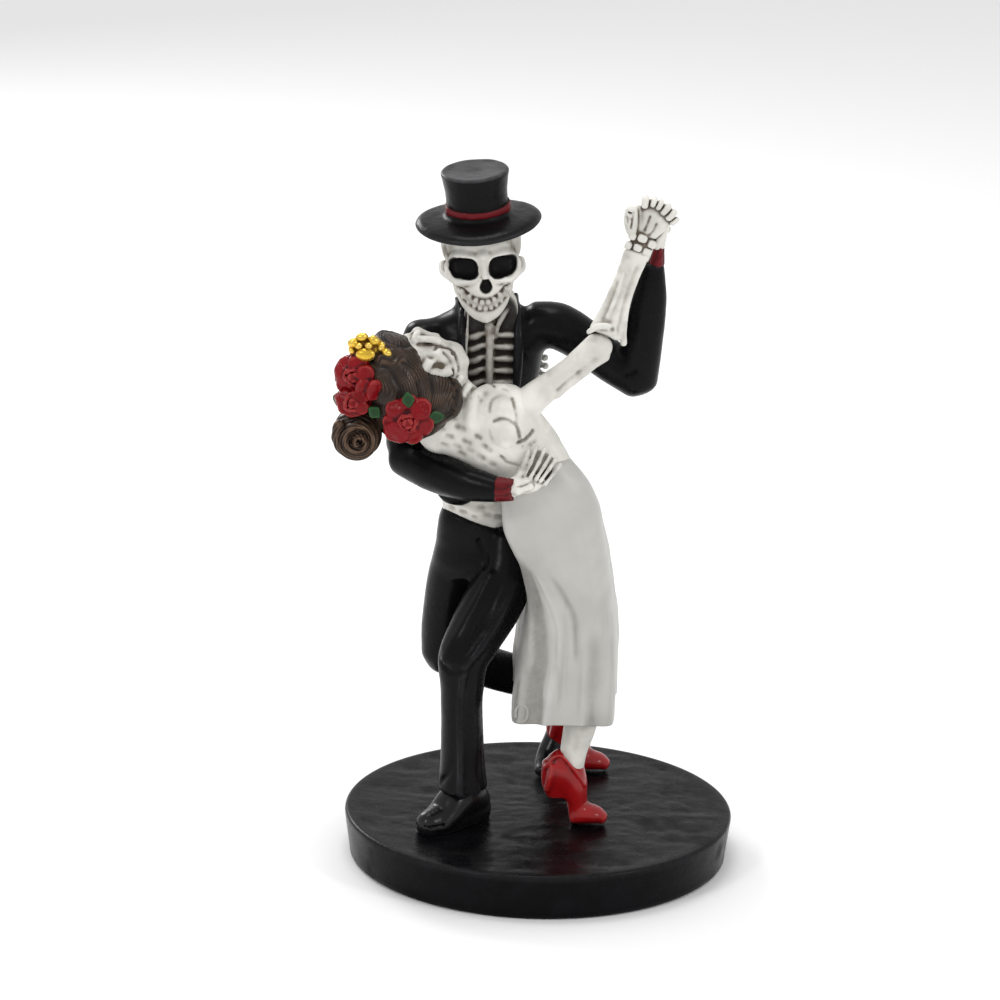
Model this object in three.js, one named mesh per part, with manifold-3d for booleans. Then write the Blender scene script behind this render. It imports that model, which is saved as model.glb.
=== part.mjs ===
// A cast and painted figurine: a skeleton groom and bride dancing on a round plinth.
// Millimetres, +Z up, the origin at the centre of the plinth's underside, the front towards -Y.
import * as THREE from 'three';
import { mergeVertices } from 'three/addons/utils/BufferGeometryUtils.js';
import Module from 'manifold-3d';

// Driving dimensions of the plinth.
const plinth = { topRadius: 54, footRadius: 51.8, height: 13, rimRound: 1.0, sides: 36 };

// The figures stand this far above the plinth.
const restGap = 0.3;
const floorHeight = plinth.height + restGap;

// Directions that the width of a section follows.
const across = [1, 0, 0];
const upright = [0, 0, 1];
const away = [0, 1, 0];

// Sections are x, y, z, half width, half depth.
const trouserSeat = [
  [-19.4, 1.6, 95.0, 9.0, 7.0],
  [-19.0, 2.0, 90.0, 9.8, 8.0],
  [-18.6, 2.0, 84.0, 10.6, 8.8],
  [-18.6, 1.6, 80.0, 8.6, 7.6],
];
const frontLeg = [
  [-10.4, 0.0, 90.0, 7.0, 8.0],
  [-10.9, -4.6, 81.0, 7.9, 8.2],
  [-14.6, -8.5, 73.5, 8.2, 8.0],
  [-18.8, -13.0, 66.5, 7.6, 7.4],
  [-21.5, -15.0, 60.5, 6.9, 6.8],
  [-21.6, -15.4, 52.0, 5.9, 6.2],
  [-21.5, -15.0, 42.0, 5.8, 6.4],
  [-21.1, -14.4, 32.0, 6.1, 6.8],
  [-21.0, -14.0, 23.6, 6.9, 8.0],
];
const backThigh = [
  [-23.0, 3.0, 90.0, 6.6, 7.6],
  [-25.4, 5.2, 77.0, 7.0, 7.6],
  [-27.2, 7.6, 64.0, 6.6, 7.0],
  [-27.8, 8.8, 55.4, 6.0, 6.4],
];
const backShin = [
  [-27.4, 9.0, 54.6, 6.0, 6.0],
  [-19.8, 14.6, 50.2, 6.0, 6.0],
  [-12.0, 20.4, 45.9, 5.9, 6.0],
  [-3.6, 27.0, 41.4, 5.6, 6.0],
  [3.4, 32.0, 38.0, 6.0, 6.4],
];
const frontShoe = [
  [-17.4, -8.6, 17.4, 4.4, 4.6],
  [-19.4, -11.4, 19.0, 5.0, 6.2],
  [-22.4, -15.2, 19.2, 5.2, 6.0],
  [-25.8, -18.8, 16.8, 5.3, 4.2],
  [-28.6, -21.4, 15.4, 4.9, 2.9],
  [-30.6, -23.2, 14.8, 3.4, 2.0],
];
const backShoe = [
  [4.6, 34.6, 37.0, 3.9, 4.4],
  [5.0, 35.0, 30.0, 3.9, 5.0],
  [4.4, 33.2, 23.0, 4.2, 4.6],
  [3.2, 30.4, 17.6, 4.5, 3.8],
  [2.2, 26.4, 15.4, 4.1, 2.6],
  [1.6, 23.4, 14.8, 3.0, 1.8],
];
const pelvis = [
  [-19.2, 1.4, 93.0, 9.2, 7.0],
  [-19.0, 1.4, 96.5, 10.0, 7.4],
  [-19.2, 2.0, 101.0, 8.6, 6.6],
];

// The jacket is lowest at its hem and narrows at the collar.
const shoulderLine = [1, 0, 0.12];
const jacketBody = [
  [-20.8, 3.2, 99.6, 9.2, 8.2],
  [-20.0, 3.6, 107.0, 9.6, 8.8],
  [-18.6, 3.8, 117.0, 10.6, 9.6],
  [-17.2, 4.0, 127.0, 11.8, 10.2],
  [-16.4, 4.2, 136.0, 13.4, 10.6],
  [-16.2, 4.0, 143.5, 16.6, 10.2],
  [-16.8, 3.6, 149.0, 19.0, 8.8],
  [-17.2, 3.4, 152.6, 15.0, 7.2],
  [-17.4, 3.2, 155.4, 8.0, 6.0],
];
const collar = [
  [-17.4, 3.6, 150.0, 9.6, 8.4],
  [-17.4, 3.8, 156.0, 8.6, 7.6],
  [-17.6, 4.4, 161.0, 9.0, 7.8],
];
const embracingSleeve = [
  [-33.2, 3.0, 146.6, 6.8, 7.2],
  [-35.6, 1.8, 140.0, 6.5, 7.0],
  [-37.5, -1.6, 129.0, 6.1, 6.4],
  [-38.2, -6.4, 119.0, 5.7, 6.0],
];
const embracingForearm = [
  [-38.0, -8.0, 116.0, 5.6, 6.0],
  [-30.4, -15.6, 114.4, 5.8, 5.6],
  [-22.6, -21.6, 113.0, 5.0, 4.8],
  [-15.8, -25.4, 112.4, 3.9, 4.0],
];
const embracingCuff = [
  [-16.2, -25.6, 112.4, 4.1, 4.2],
  [-11.8, -27.0, 112.4, 3.4, 3.4],
];
const raisedSleeve = [
  [-4.0, 3.4, 150.6, 6.6, 7.0],
  [2.0, 3.0, 149.8, 7.2, 7.2],
  [9.0, 2.2, 146.0, 6.8, 6.8],
  [17.0, 0.6, 140.6, 6.0, 6.2],
  [23.6, -1.0, 137.6, 5.2, 5.6],
];
const raisedForearm = [
  [24.0, -1.2, 137.6, 5.4, 5.4],
  [25.4, -2.6, 148.0, 5.0, 5.0],
  [26.8, -4.0, 160.0, 4.0, 4.2],
  [27.6, -4.8, 169.0, 3.2, 3.4],
];
const raisedCuff = [
  [27.6, -4.8, 168.4, 3.5, 3.6],
  [27.6, -5.2, 173.6, 3.1, 3.2],
];
const groomPalm = [
  [27.8, -5.0, 173.0, 2.4, 2.0],
  [28.4, -4.6, 179.0, 3.6, 2.2],
  [28.8, -4.4, 184.5, 3.6, 2.0],
];

// The groom's head, from the chin to the crown.
const groomSkull = [
  [-17.9, -7.4, 156.4, 4.4, 3.4],
  [-18.0, -5.6, 159.6, 7.2, 5.8],
  [-18.3, -3.0, 163.4, 9.0, 8.6],
  [-18.6, -1.2, 167.4, 10.4, 10.4],
  [-18.8, -0.4, 171.0, 10.9, 11.4],
  [-19.2, 0.0, 176.0, 10.6, 11.8],
  [-19.8, 0.2, 181.0, 9.4, 10.4],
];
const groomNeck = [
  [-17.6, 2.4, 152.0, 3.4, 3.4],
  [-17.8, 1.6, 160.0, 3.4, 3.4],
];
const eyeSocket = { size: [3.5, 3.4, 3.0], left: [-23.7, -10.4, 169.6], right: [-12.9, -10.4, 170.7] };
const noseHole = { size: [1.7, 2.4, 2.3], place: [-17.5, -11.8, 165.4] };
const teeth = { count: 4, pitch: 2.4, slot: [0.3, 1.2, 1.9], middle: [-18.0, -11.3, 160.9], curve: 0.06 };
const hat = {
  place: [-20.4, -2.0, 179.8], lean: -8.6, nod: 8.0, sides: 16,
  brimRadius: 17.0, brimThick: 1.3, brimCurl: 1.3, crownFoot: 8.2, crownTop: 9.4, crownHeight: 14.6,
};

// The groom's chest shows between the jacket's edges.
const chest = {
  rows: 6, top: 150.6, pitch: 4.0, reach: 4.6, drop: 1.1, thick: 0.85, middle: -15.6, face: -6.4,
};
const sternum = [
  [-15.9, -6.6, 150.6, 1.5, 0.9],
  [-15.4, -7.2, 140.0, 1.2, 0.9],
  [-15.2, -7.0, 127.0, 0.9, 0.8],
];
const lapels = [
  [[-25.0, -1.0, 158.0, 1.6, 1.0], [-21.6, -5.8, 149.0, 1.5, 1.0], [-20.8, -7.2, 138.0, 1.3, 0.9],
    [-21.4, -6.8, 122.0, 1.2, 0.9], [-23.4, -5.0, 104.0, 1.2, 0.9]],
  [[-10.2, -1.0, 159.0, 1.6, 1.0], [-10.6, -5.8, 150.0, 1.5, 1.0], [-10.0, -7.2, 138.0, 1.3, 0.9],
    [-11.4, -6.8, 122.0, 1.2, 0.9], [-15.4, -5.4, 104.0, 1.2, 0.9]],
];

// The bride's dress, from the waist to the hem, with its folds.
const dress = {
  rows: [
    [-3.2, -15.0, 118.0, 9.8, 7.8],
    [-0.6, -14.4, 112.0, 11.8, 9.0],
    [1.2, -12.6, 105.0, 13.2, 10.8],
    [3.4, -10.4, 97.0, 12.8, 12.6],
    [6.0, -6.8, 87.0, 12.0, 15.6],
    [7.3, -2.4, 77.0, 12.0, 19.2],
    [7.1, 1.6, 66.0, 13.2, 23.0],
    [6.8, 5.0, 55.0, 13.4, 26.6],
    [6.5, 8.0, 45.0, 13.4, 29.8],
  ],
  squareness: 4.0, folds: 8, foldDepth: 0.5, rings: 6, sides: 24, wallBelow: 3.2, hollow: 2.6,
};
const brideTorso = [
  [-1.6, -14.2, 114.0, 10.4, 8.0],
  [-7.4, -15.4, 120.0, 11.2, 7.8],
  [-12.6, -16.0, 124.8, 12.2, 7.4],
  [-17.4, -15.8, 128.6, 12.8, 6.2],
  [-20.8, -15.2, 131.4, 9.0, 4.6],
  [-23.0, -14.6, 133.6, 3.8, 3.2],
];
const torsoWidth = [0.72, 0, 0.69];
const brideNeck = [
  [-19.0, -15.0, 133.8, 3.2, 3.0],
  [-23.0, -14.4, 137.4, 2.8, 2.6],
  [-26.5, -14.0, 140.5, 3.2, 3.0],
];
const brideUpperArm = [
  [-9.4, -17.4, 130.0, 5.6, 5.2],
  [-5.4, -17.0, 134.4, 4.4, 4.4],
  [0.8, -16.2, 139.6, 3.7, 3.6],
  [8.0, -15.2, 145.0, 3.8, 3.6],
  [13.4, -14.4, 149.0, 4.4, 4.0],
];
const brideForearm = [
  [14.6, -13.4, 150.6, 4.1, 3.6],
  [16.6, -12.4, 157.0, 4.0, 3.6],
  [19.6, -11.0, 166.0, 3.6, 3.2],
  [22.6, -9.6, 174.6, 3.4, 2.9],
];
const brideWrist = [
  [22.8, -9.4, 175.0, 3.8, 3.0],
  [24.6, -9.0, 179.4, 3.9, 2.9],
];
const bridePalm = [
  [24.6, -9.0, 179.0, 3.6, 2.6],
  [26.6, -8.8, 183.4, 5.2, 3.0],
  [28.0, -8.6, 187.6, 5.4, 2.8],
];
const brideHoldingArm = [
  [-21.0, -10.0, 132.6, 3.6, 3.6],
  [-27.4, -6.0, 129.6, 3.0, 3.0],
  [-31.4, 4.0, 127.4, 2.8, 2.8],
  [-30.0, 12.4, 127.0, 3.0, 3.0],
  [-23.0, 16.0, 129.0, 2.7, 2.5],
  [-12.0, 16.4, 133.4, 2.4, 2.3],
  [-5.4, 14.4, 136.4, 3.8, 2.6],
];
const nearLeg = { x: 11.6, y: -12.0 };
const farFootShift = [1.2, 46.0, 0.0];
const farShinLean = 8.0;
const nearShin = [
  [nearLeg.x + 0.6, nearLeg.y, 50.0, 4.6, 4.4],
  [10.8, -12.0, 41.0, 4.2, 4.0],
  [9.0, -12.0, 33.0, 3.7, 3.6],
  [8.8, -12.0, 28.0, 3.4, 3.4],
];
const shoeUpper = [
  [6.4, -12.0, 31.2, 4.3, 3.9],
  [7.4, -12.0, 26.0, 5.2, 4.1],
  [9.6, -12.0, 21.0, 3.8, 3.9],
  [11.4, -12.0, 16.4, 3.4, 3.7],
];
const shoeToe = [
  [10.0, -12.0, 15.8, 3.7, 2.2],
  [13.6, -12.0, 16.4, 3.9, 2.8],
  [17.0, -12.0, 15.6, 2.9, 2.1],
];
const shoeHeel = [
  [5.4, -12.0, 29.0, 3.8, 3.7],
  [3.4, -12.0, 24.6, 3.2, 3.2],
  [2.2, -12.0, 20.6, 2.0, 2.3],
];

// The bride's head, from the crown to the chin, and her hair from the crown to the nape.
const skullWidth = [0, 1, 0];
const brideSkull = [
  [-43.0, -15.0, 144.0, 6.0, 6.0],
  [-39.5, -14.6, 143.6, 9.4, 9.0],
  [-34.0, -14.2, 142.8, 10.2, 9.8],
  [-29.0, -14.0, 142.6, 8.6, 8.0],
  [-25.4, -13.8, 142.6, 6.6, 5.6],
  [-23.0, -13.6, 143.0, 4.2, 4.0],
];
const brideSocket = { size: [2.6, 2.8, 2.2], near: [-31.4, -18.6, 151.0], far: [-31.4, -9.4, 151.0] };
const hair = {
  sections: [
    [-48.4, -20.0, 141.4, 7.4, 7.4],
    [-45.4, -20.0, 140.2, 11.0, 11.0],
    [-40.6, -19.4, 138.6, 13.6, 13.6],
    [-35.0, -19.0, 136.8, 12.8, 12.0],
    [-29.0, -18.6, 135.2, 9.2, 8.8],
    [-25.0, -18.4, 136.0, 5.4, 5.2],
  ],
  grooves: 5, grooveDepth: 0.6, twist: 1.0, rings: 5, sides: 15,
};
const bun = { place: [-50.8, -23.0, 126.4], radius: 6.7, depth: 5.4, coils: 2.25, coilThick: 1.5 };
const roses = [
  { place: [-50.6, -26.0, 141.6], radius: 6.4, facing: [-0.5, -0.8, 0.25] },
  { place: [-51.6, -28.0, 136.0], radius: 4.0, facing: [-0.4, -0.9, -0.1] },
  { place: [-36.0, -31.4, 131.4], radius: 6.9, facing: [0.0, -1.0, -0.1] },
];
const rosePetals = { lobes: 5, rings: 3, bulge: 0.16 };
const goldFlower = {
  place: [-47.6, -24.0, 150.0], petal: 2.6, reach: 3.4, petals: 4, facing: [-0.2, -0.7, 0.7],
};
const leaves = [
  { from: [-37.6, -33.4, 136.0], to: [-37.0, -33.0, 142.0] },
  { from: [-33.0, -31.4, 133.6], to: [-26.6, -28.0, 133.0] },
  { from: [-47.2, -29.4, 134.6], to: [-45.4, -29.0, 129.8] },
  { from: [-55.4, -25.6, 137.6], to: [-56.8, -24.6, 132.0] },
  { from: [-35.0, -31.0, 126.8], to: [-30.6, -28.6, 126.0] },
];
const leafGirth = { half: 1.7, thick: 0.8 };

// Fingers, each from its knuckle to its tip by way of its middle joint, with its half thickness.
const fingers = {
  thick: 0.95,
  embracing: [
    [[-7.6, -26.4, 115.0], [-4.8, -25.0, 119.2], [-2.6, -23.0, 123.2]],
    [[-5.8, -26.6, 114.6], [-2.4, -25.0, 119.0], [0.0, -22.8, 123.0]],
    [[-4.4, -26.6, 114.0], [-0.4, -24.8, 118.0], [1.8, -22.8, 121.4]],
    [[-3.8, -26.2, 112.8], [0.6, -24.6, 116.4], [2.6, -22.8, 119.2]],
    [[-11.0, -27.0, 113.0], [-7.6, -27.4, 112.2], [-4.4, -26.8, 112.2]],
  ],
  raised: [
    [[23.6, -9.0, 186.0], [24.6, -11.2, 190.4], [26.6, -12.0, 188.6]],
    [[26.6, -9.0, 187.0], [27.2, -11.4, 190.2], [29.0, -12.2, 187.8]],
    [[29.4, -9.0, 187.0], [30.0, -11.4, 189.0], [31.0, -12.2, 186.4]],
    [[31.8, -9.0, 186.0], [32.6, -11.2, 187.0], [32.8, -12.0, 184.4]],
    [[22.6, -10.0, 180.4], [20.8, -11.4, 184.4], [21.4, -11.6, 188.4]],
  ],
  holding: [
    [[-7.4, 14.8, 137.6], [-1.6, 12.4, 139.6], [0.0, 8.6, 140.4]],
    [[-7.0, 14.8, 136.2], [-1.4, 12.4, 137.2], [0.0, 8.6, 137.8]],
    [[-7.0, 14.6, 134.8], [-1.8, 12.2, 134.8], [-0.6, 8.6, 135.2]],
  ],
  knuckle: 1.15,
};
const embracingPalm = [
  [-12.4, -26.4, 112.6, 2.8, 2.2],
  [-8.2, -26.2, 113.4, 3.4, 2.4],
  [-5.2, -25.6, 114.6, 3.6, 2.2],
];

const wasm = await Module();
wasm.setup();

// A Catmull-Rom curve through rows of numbers: the row at t, where t runs from 0 to rows.length - 1.
function rowAt(rows, t) {
  const last = rows.length - 1;
  const start = Math.min(Math.floor(t), last - 1);
  const part = t - start;
  const pick = (index) => rows[Math.max(0, Math.min(last, index))];
  const [a, b, c, d] = [pick(start - 1), pick(start), pick(start + 1), pick(start + 2)];
  return b.map((value, i) => value + 0.5 * part * (c[i] - a[i]
    + part * (2 * a[i] - 5 * value + 4 * c[i] - d[i]
    + part * (3 * (value - c[i]) + d[i] - a[i]))));
}

// A closed grid of points, rings by sides, with a point at each end, as one solid.
function solidFromRings(rings, first, last) {
  const sides = rings[0].length;
  const points = [first, ...rings.flat(), last];
  const at = (ring, side) => 1 + ring * sides + (side % sides);
  const faces = [];
  for (let side = 0; side < sides; side += 1) {
    faces.push(0, at(0, side + 1), at(0, side));
    faces.push(points.length - 1, at(rings.length - 1, side), at(rings.length - 1, side + 1));
    for (let ring = 0; ring < rings.length - 1; ring += 1) {
      faces.push(at(ring, side), at(ring, side + 1), at(ring + 1, side));
      faces.push(at(ring, side + 1), at(ring + 1, side + 1), at(ring + 1, side));
    }
  }
  return solidFromPoints(points, faces);
}

function solidFromPoints(points, faces) {
  const geometry = new THREE.BufferGeometry().setFromPoints(points);
  geometry.setIndex(faces);
  return toSolid(geometry);
}

// A closed three.js geometry as a solid, with its shared points merged.
function toSolid(geometry) {
  geometry.deleteAttribute('normal');
  geometry.deleteAttribute('uv');
  const merged = mergeVertices(geometry, 1e-4);
  const mesh = new wasm.Mesh({
    numProp: 3,
    vertProperties: new Float32Array(merged.attributes.position.array),
    triVerts: new Uint32Array(merged.index.array),
  });
  const solid = new wasm.Manifold(mesh);
  if (solid.volume() > 0) {
    return solid;
  }
  const flipped = Array.from(merged.index.array);
  for (let i = 0; i < flipped.length; i += 3) {
    [flipped[i], flipped[i + 1]] = [flipped[i + 1], flipped[i]];
  }
  return new wasm.Manifold(new wasm.Mesh({
    numProp: 3,
    vertProperties: new Float32Array(merged.attributes.position.array),
    triVerts: new Uint32Array(flipped),
  }));
}

const vector = (row) => new THREE.Vector3(row[0], row[1], row[2]);

// One oval section: a superellipse whose radius is scaled by swell(angle).
function ovalRing(centre, widthAxis, depthAxis, row, sides, squareness, swell) {
  const ring = [];
  for (let side = 0; side < sides; side += 1) {
    const angle = (2 * Math.PI * side) / sides;
    const [c, s] = [Math.cos(angle), Math.sin(angle)];
    const radius = (Math.abs(c) ** squareness + Math.abs(s) ** squareness) ** (-1 / squareness);
    const scale = radius * swell(angle);
    ring.push(centre.clone()
      .addScaledVector(widthAxis, c * scale * row[3])
      .addScaledVector(depthAxis, s * scale * row[4]));
  }
  return ring;
}

// A smooth closed skin over a row of oval sections, with domed or flat ends.
function skin(sections, widthDirection, options = {}) {
  const { rings = 8, sides = 12, squareness = 2, swell = () => 1, level } = options;
  const { dome = 0.7, domeEnd = dome } = options;
  const span = sections.length - 1;
  const rows = [];
  for (let ring = 0; ring <= rings; ring += 1) {
    rows.push(rowAt(sections, (span * ring) / rings));
  }
  const frames = rows.map((row, i) => {
    const next = vector(rows[Math.min(i + 1, rings)]);
    const tangent = level ? vector(level) : next.sub(vector(rows[Math.max(i - 1, 0)])).normalize();
    const width = vector(widthDirection).addScaledVector(tangent, -vector(widthDirection).dot(tangent));
    width.normalize();
    return { tangent, width, depth: new THREE.Vector3().crossVectors(tangent, width) };
  });
  const ringsOut = rows.map((row, i) => ovalRing(
    vector(row), frames[i].width, frames[i].depth, row, sides, squareness,
    (angle) => swell(angle, i / rings),
  ));
  const endCap = (index, sign, roundness) => {
    const row = rows[index];
    const reach = Math.min(row[3], row[4]) * roundness;
    const { tangent, width, depth } = frames[index];
    const at = (share) => vector(row).addScaledVector(tangent, sign * reach * share);
    const ring = (turn) => {
      const shrunk = [...row.slice(0, 3), row[3] * Math.cos(turn), row[4] * Math.cos(turn)];
      return ovalRing(at(Math.sin(turn)), width, depth, shrunk, sides, squareness,
        (angle) => swell(angle, index / rings));
    };
    const turns = sides > 16 ? [0.6, 1.1] : [0.8];
    return roundness > 0 ? { rings: turns.map(ring), tip: at(1) } : { rings: [], tip: at(0) };
  };
  const start = endCap(0, -1, dome);
  const end = endCap(rings, 1, domeEnd);
  return solidFromRings([...start.rings.reverse(), ...ringsOut, ...end.rings], start.tip, end.tip);
}

// An ellipsoid of the given half sizes.
function ball(place, size, sides = 12) {
  const geometry = new THREE.SphereGeometry(1, sides, Math.round(sides * 0.66));
  geometry.scale(...size).translate(...place);
  return toSolid(geometry);
}

const unite = (solids) => wasm.Manifold.union(solids);

// A slim piece takes its width from the axis that it runs across.
function crossing(from, to) {
  return Math.abs(to[0] - from[0]) > Math.abs(to[2] - from[2]) ? upright : across;
}

// One finger bends at its middle joint, where it is thickest.
function finger([knuckle, middle, tip]) {
  const { thick, knuckle: joint } = fingers;
  return skin([
    [...knuckle, thick, thick],
    [...middle, joint, joint],
    [...tip, thick * 0.85, thick * 0.85],
  ], crossing(knuckle, tip), { rings: 2, sides: 4, dome: 0 });
}

// The plinth is turned, with a slight inward draft to its foot and a rounded rim.
function makePlinth() {
  const { topRadius, footRadius, height, rimRound, sides } = plinth;
  const arc = (x, z, from) => [0, 1, 2, 3].map((step) => {
    const angle = from + (Math.PI / 2) * (step / 3);
    return new THREE.Vector2(x + rimRound * Math.cos(angle), z + rimRound * Math.sin(angle));
  });
  const outline = [
    new THREE.Vector2(0, 0),
    new THREE.Vector2(footRadius - rimRound, 0),
    new THREE.Vector2(footRadius, rimRound * 0.6),
    ...arc(topRadius - rimRound, height - rimRound, 0),
    new THREE.Vector2(0, height),
  ];
  return toSolid(new THREE.LatheGeometry(outline, sides).rotateX(Math.PI / 2));
}

// The hat is turned about its own axis, then leaned and nodded onto the skull.
function makeHat() {
  const { brimRadius, brimThick, brimCurl, crownFoot, crownTop, crownHeight, sides } = hat;
  const outline = [
    [0, -1.2], [brimRadius * 0.72, -brimThick * 0.6], [brimRadius, brimCurl - 0.2],
    [brimRadius * 0.96, brimCurl + 0.4], [brimRadius * 0.72, brimThick * 0.5],
    [crownFoot + 0.5, brimThick * 0.5], [crownFoot + 0.1, 3.4],
    [crownFoot + 0.3, crownHeight * 0.62], [crownTop, crownHeight - 0.4],
    [0, crownHeight - 0.2],
  ].map(([radius, height]) => new THREE.Vector2(radius, height));
  const geometry = new THREE.LatheGeometry(outline, sides).rotateX(Math.PI / 2);
  geometry.rotateX(THREE.MathUtils.degToRad(hat.nod));
  geometry.rotateY(THREE.MathUtils.degToRad(hat.lean));
  geometry.translate(...hat.place);
  return toSolid(geometry);
}

// The skull has two eye sockets, a nose hole and slots between its teeth.
function makeGroomHead() {
  const slots = [];
  for (let i = 0; i <= teeth.count; i += 1) {
    const offset = (i - teeth.count / 2) * teeth.pitch;
    const [x, y, z] = teeth.middle;
    const slot = new THREE.BoxGeometry(...teeth.slot);
    slot.translate(x + offset, y + teeth.curve * offset * offset, z + 0.03 * offset * offset);
    slots.push(toSolid(slot));
  }
  const skull = skin(groomSkull, across, { rings: 5, sides: 12, squareness: 2.2, dome: 0.6 });
  const cuts = [
    ball(eyeSocket.left, eyeSocket.size, 7), ball(eyeSocket.right, eyeSocket.size, 7),
    ball(noseHole.place, noseHole.size, 5), ...slots,
  ];
  return unite([skull.subtract(unite(cuts)), skin(groomNeck, across, { rings: 1, sides: 8 }), makeHat()]);
}

// Ribs curve out and down from the breastbone on both sides.
function makeChest() {
  const { rows, top, pitch, reach, drop, thick, middle, face } = chest;
  const parts = [skin(sternum, across, { rings: 2, sides: 4, dome: 0 })];
  for (let row = 0; row < rows; row += 1) {
    for (const sign of [-1, 1]) {
      const height = top - row * pitch;
      parts.push(skin([
        [middle, face - 0.5, height, thick, thick],
        [middle + (sign * reach) / 2, face - 0.7, height - drop * 0.3, thick, thick],
        [middle + sign * reach, face + 0.6, height - drop, thick, thick],
      ], upright, { rings: 2, sides: 4, dome: 0 }));
    }
  }
  return parts;
}

function makeGroomSuit() {
  const limb = (sections, direction, rings, sides, options = {}) => skin(
    sections, direction, { rings, sides, ...options },
  );
  return [
    limb(trouserSeat, across, 3, 10),
    limb(frontLeg, across, 7, 10, { domeEnd: 0 }),
    limb(backThigh, across, 3, 9),
    limb(backShin, upright, 3, 9),
    limb(frontShoe, [0.75, -0.66, 0], 5, 8),
    limb(backShoe, across, 5, 7),
    limb(pelvis, across, 2, 10, { dome: 0 }),
    limb(jacketBody, shoulderLine, 7, 12, { squareness: 2.2, dome: 0 }),
    limb(collar, across, 1, 8, { dome: 0 }),
    limb(embracingSleeve, across, 2, 10),
    limb(embracingForearm, upright, 2, 10),
    limb(embracingCuff, upright, 1, 8, { dome: 0 }),
    limb(raisedSleeve, upright, 3, 10),
    limb(raisedForearm, across, 2, 10),
    limb(raisedCuff, across, 1, 8, { dome: 0 }),
    ...lapels.map((edge) => limb(edge, across, 3, 4, { dome: 0 })),
  ];
}

// The dress is a squared oval with soft folds that deepen towards the hem, hollowed a little below.
function makeDress() {
  const { rows, squareness, folds, foldDepth, rings, sides, wallBelow, hollow } = dress;
  const swell = (angle, share) => 1 + (foldDepth / 14) * share ** 2 * Math.cos(folds * angle);
  const level = [0, 0, -1];
  const outside = skin(rows, across, { rings, sides, squareness, dome: 0.3, domeEnd: 0, swell, level });
  const [x, y, z, halfWidth, halfDepth] = rows.at(-1);
  const below = [
    [x, y, z + hollow, halfWidth - wallBelow - 1, halfDepth - wallBelow - 1],
    [x, y, z - 1, halfWidth - wallBelow, halfDepth - wallBelow],
  ];
  return outside.subtract(skin(below, across, { rings: 1, sides: 12, squareness, dome: 0 }));
}

// One red shoe on tiptoe: the upper, the toe and the raised heel, under a shin that leans forward.
function makeShoe(lean) {
  const shin = nearShin.map((row, i) => row.with(1, row[1] - (lean * (nearShin.length - 1 - i)) / 3));
  return unite([
    skin(shin, across, { rings: 1, sides: 7, dome: 0 }),
    skin(shoeUpper, across, { rings: 2, sides: 7 }),
    skin(shoeToe, away, { rings: 1, sides: 7 }),
    skin(shoeHeel, across, { rings: 1, sides: 6, dome: 0 }),
  ]);
}

// Locks of hair are grooves that turn as they run from the crown to the nape.
function makeHair() {
  const { sections, grooves, grooveDepth, twist, rings, sides } = hair;
  const turned = (angle, share) => Math.cos(grooves * angle + twist * Math.PI * share);
  const swell = (angle, share) => 1 + (grooveDepth / 12) * turned(angle, share);
  const coil = [];
  for (let step = 0; step <= 14; step += 1) {
    const share = step / 14;
    const angle = 2 * Math.PI * bun.coils * share;
    const radius = bun.radius * (1 - 0.72 * share) - bun.coilThick * 0.6;
    coil.push([
      bun.place[0] + radius * Math.cos(angle),
      bun.place[1] - bun.depth * (0.25 + 0.72 * share),
      bun.place[2] + radius * Math.sin(angle),
      bun.coilThick, bun.coilThick,
    ]);
  }
  return [
    skin(sections, away, { rings, sides, swell, dome: 0.8 }),
    ball(bun.place, [bun.radius, bun.depth, bun.radius], 9),
    skin(coil, away, { rings: 11, sides: 4, dome: 0 }),
  ];
}

const turnFrom = (axis, facing) => (
  new THREE.Quaternion().setFromUnitVectors(vector(axis), vector(facing).normalize())
);

// A rose is a ball whose radius swells in rings of petals round the way that it faces.
function makeRose({ place, radius, facing }) {
  const geometry = new THREE.SphereGeometry(1, 10, 6);
  const turn = turnFrom(away, facing);
  const point = new THREE.Vector3();
  const { position } = geometry.attributes;
  for (let i = 0; i < position.count; i += 1) {
    point.fromBufferAttribute(position, i);
    const around = Math.atan2(point.z, point.x);
    const out = Math.acos(THREE.MathUtils.clamp(point.y, -1, 1));
    const level = Math.sin(rosePetals.rings * out * 2);
    const lobe = Math.cos(rosePetals.lobes * around + 2 * Math.floor((out * rosePetals.rings) / Math.PI));
    const side = Math.sin(out);
    const scale = radius * (1 + rosePetals.bulge * (0.5 * level + 0.5 * lobe * side) * side);
    point.multiply(new THREE.Vector3(scale, scale * 0.62, scale)).applyQuaternion(turn);
    position.setXYZ(i, point.x + place[0], point.y + place[1], point.z + place[2]);
  }
  return toSolid(geometry);
}

function makeGoldFlower() {
  const { place, petal, reach, petals, facing } = goldFlower;
  const turn = turnFrom(upright, facing);
  const parts = [ball(place, [petal * 0.8, petal * 0.8, petal * 0.8], 5)];
  for (let i = 0; i < petals; i += 1) {
    const angle = (2 * Math.PI * i) / petals;
    const out = vector([reach * Math.cos(angle), reach * Math.sin(angle), 0]).applyQuaternion(turn);
    const centre = [place[0] + out.x, place[1] + out.y, place[2] + out.z];
    parts.push(ball(centre, [petal, petal * 0.75, petal * 0.75], 5));
  }
  return parts;
}

function makeLeaf({ from, to }) {
  const middle = from.map((value, i) => (value + to[i]) / 2);
  return skin([
    [...from, leafGirth.half * 0.4, leafGirth.thick],
    [...middle, leafGirth.half, leafGirth.thick],
    [...to, leafGirth.half * 0.3, leafGirth.thick * 0.5],
  ], crossing(from, to), { rings: 2, sides: 4, dome: 0 });
}

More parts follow.
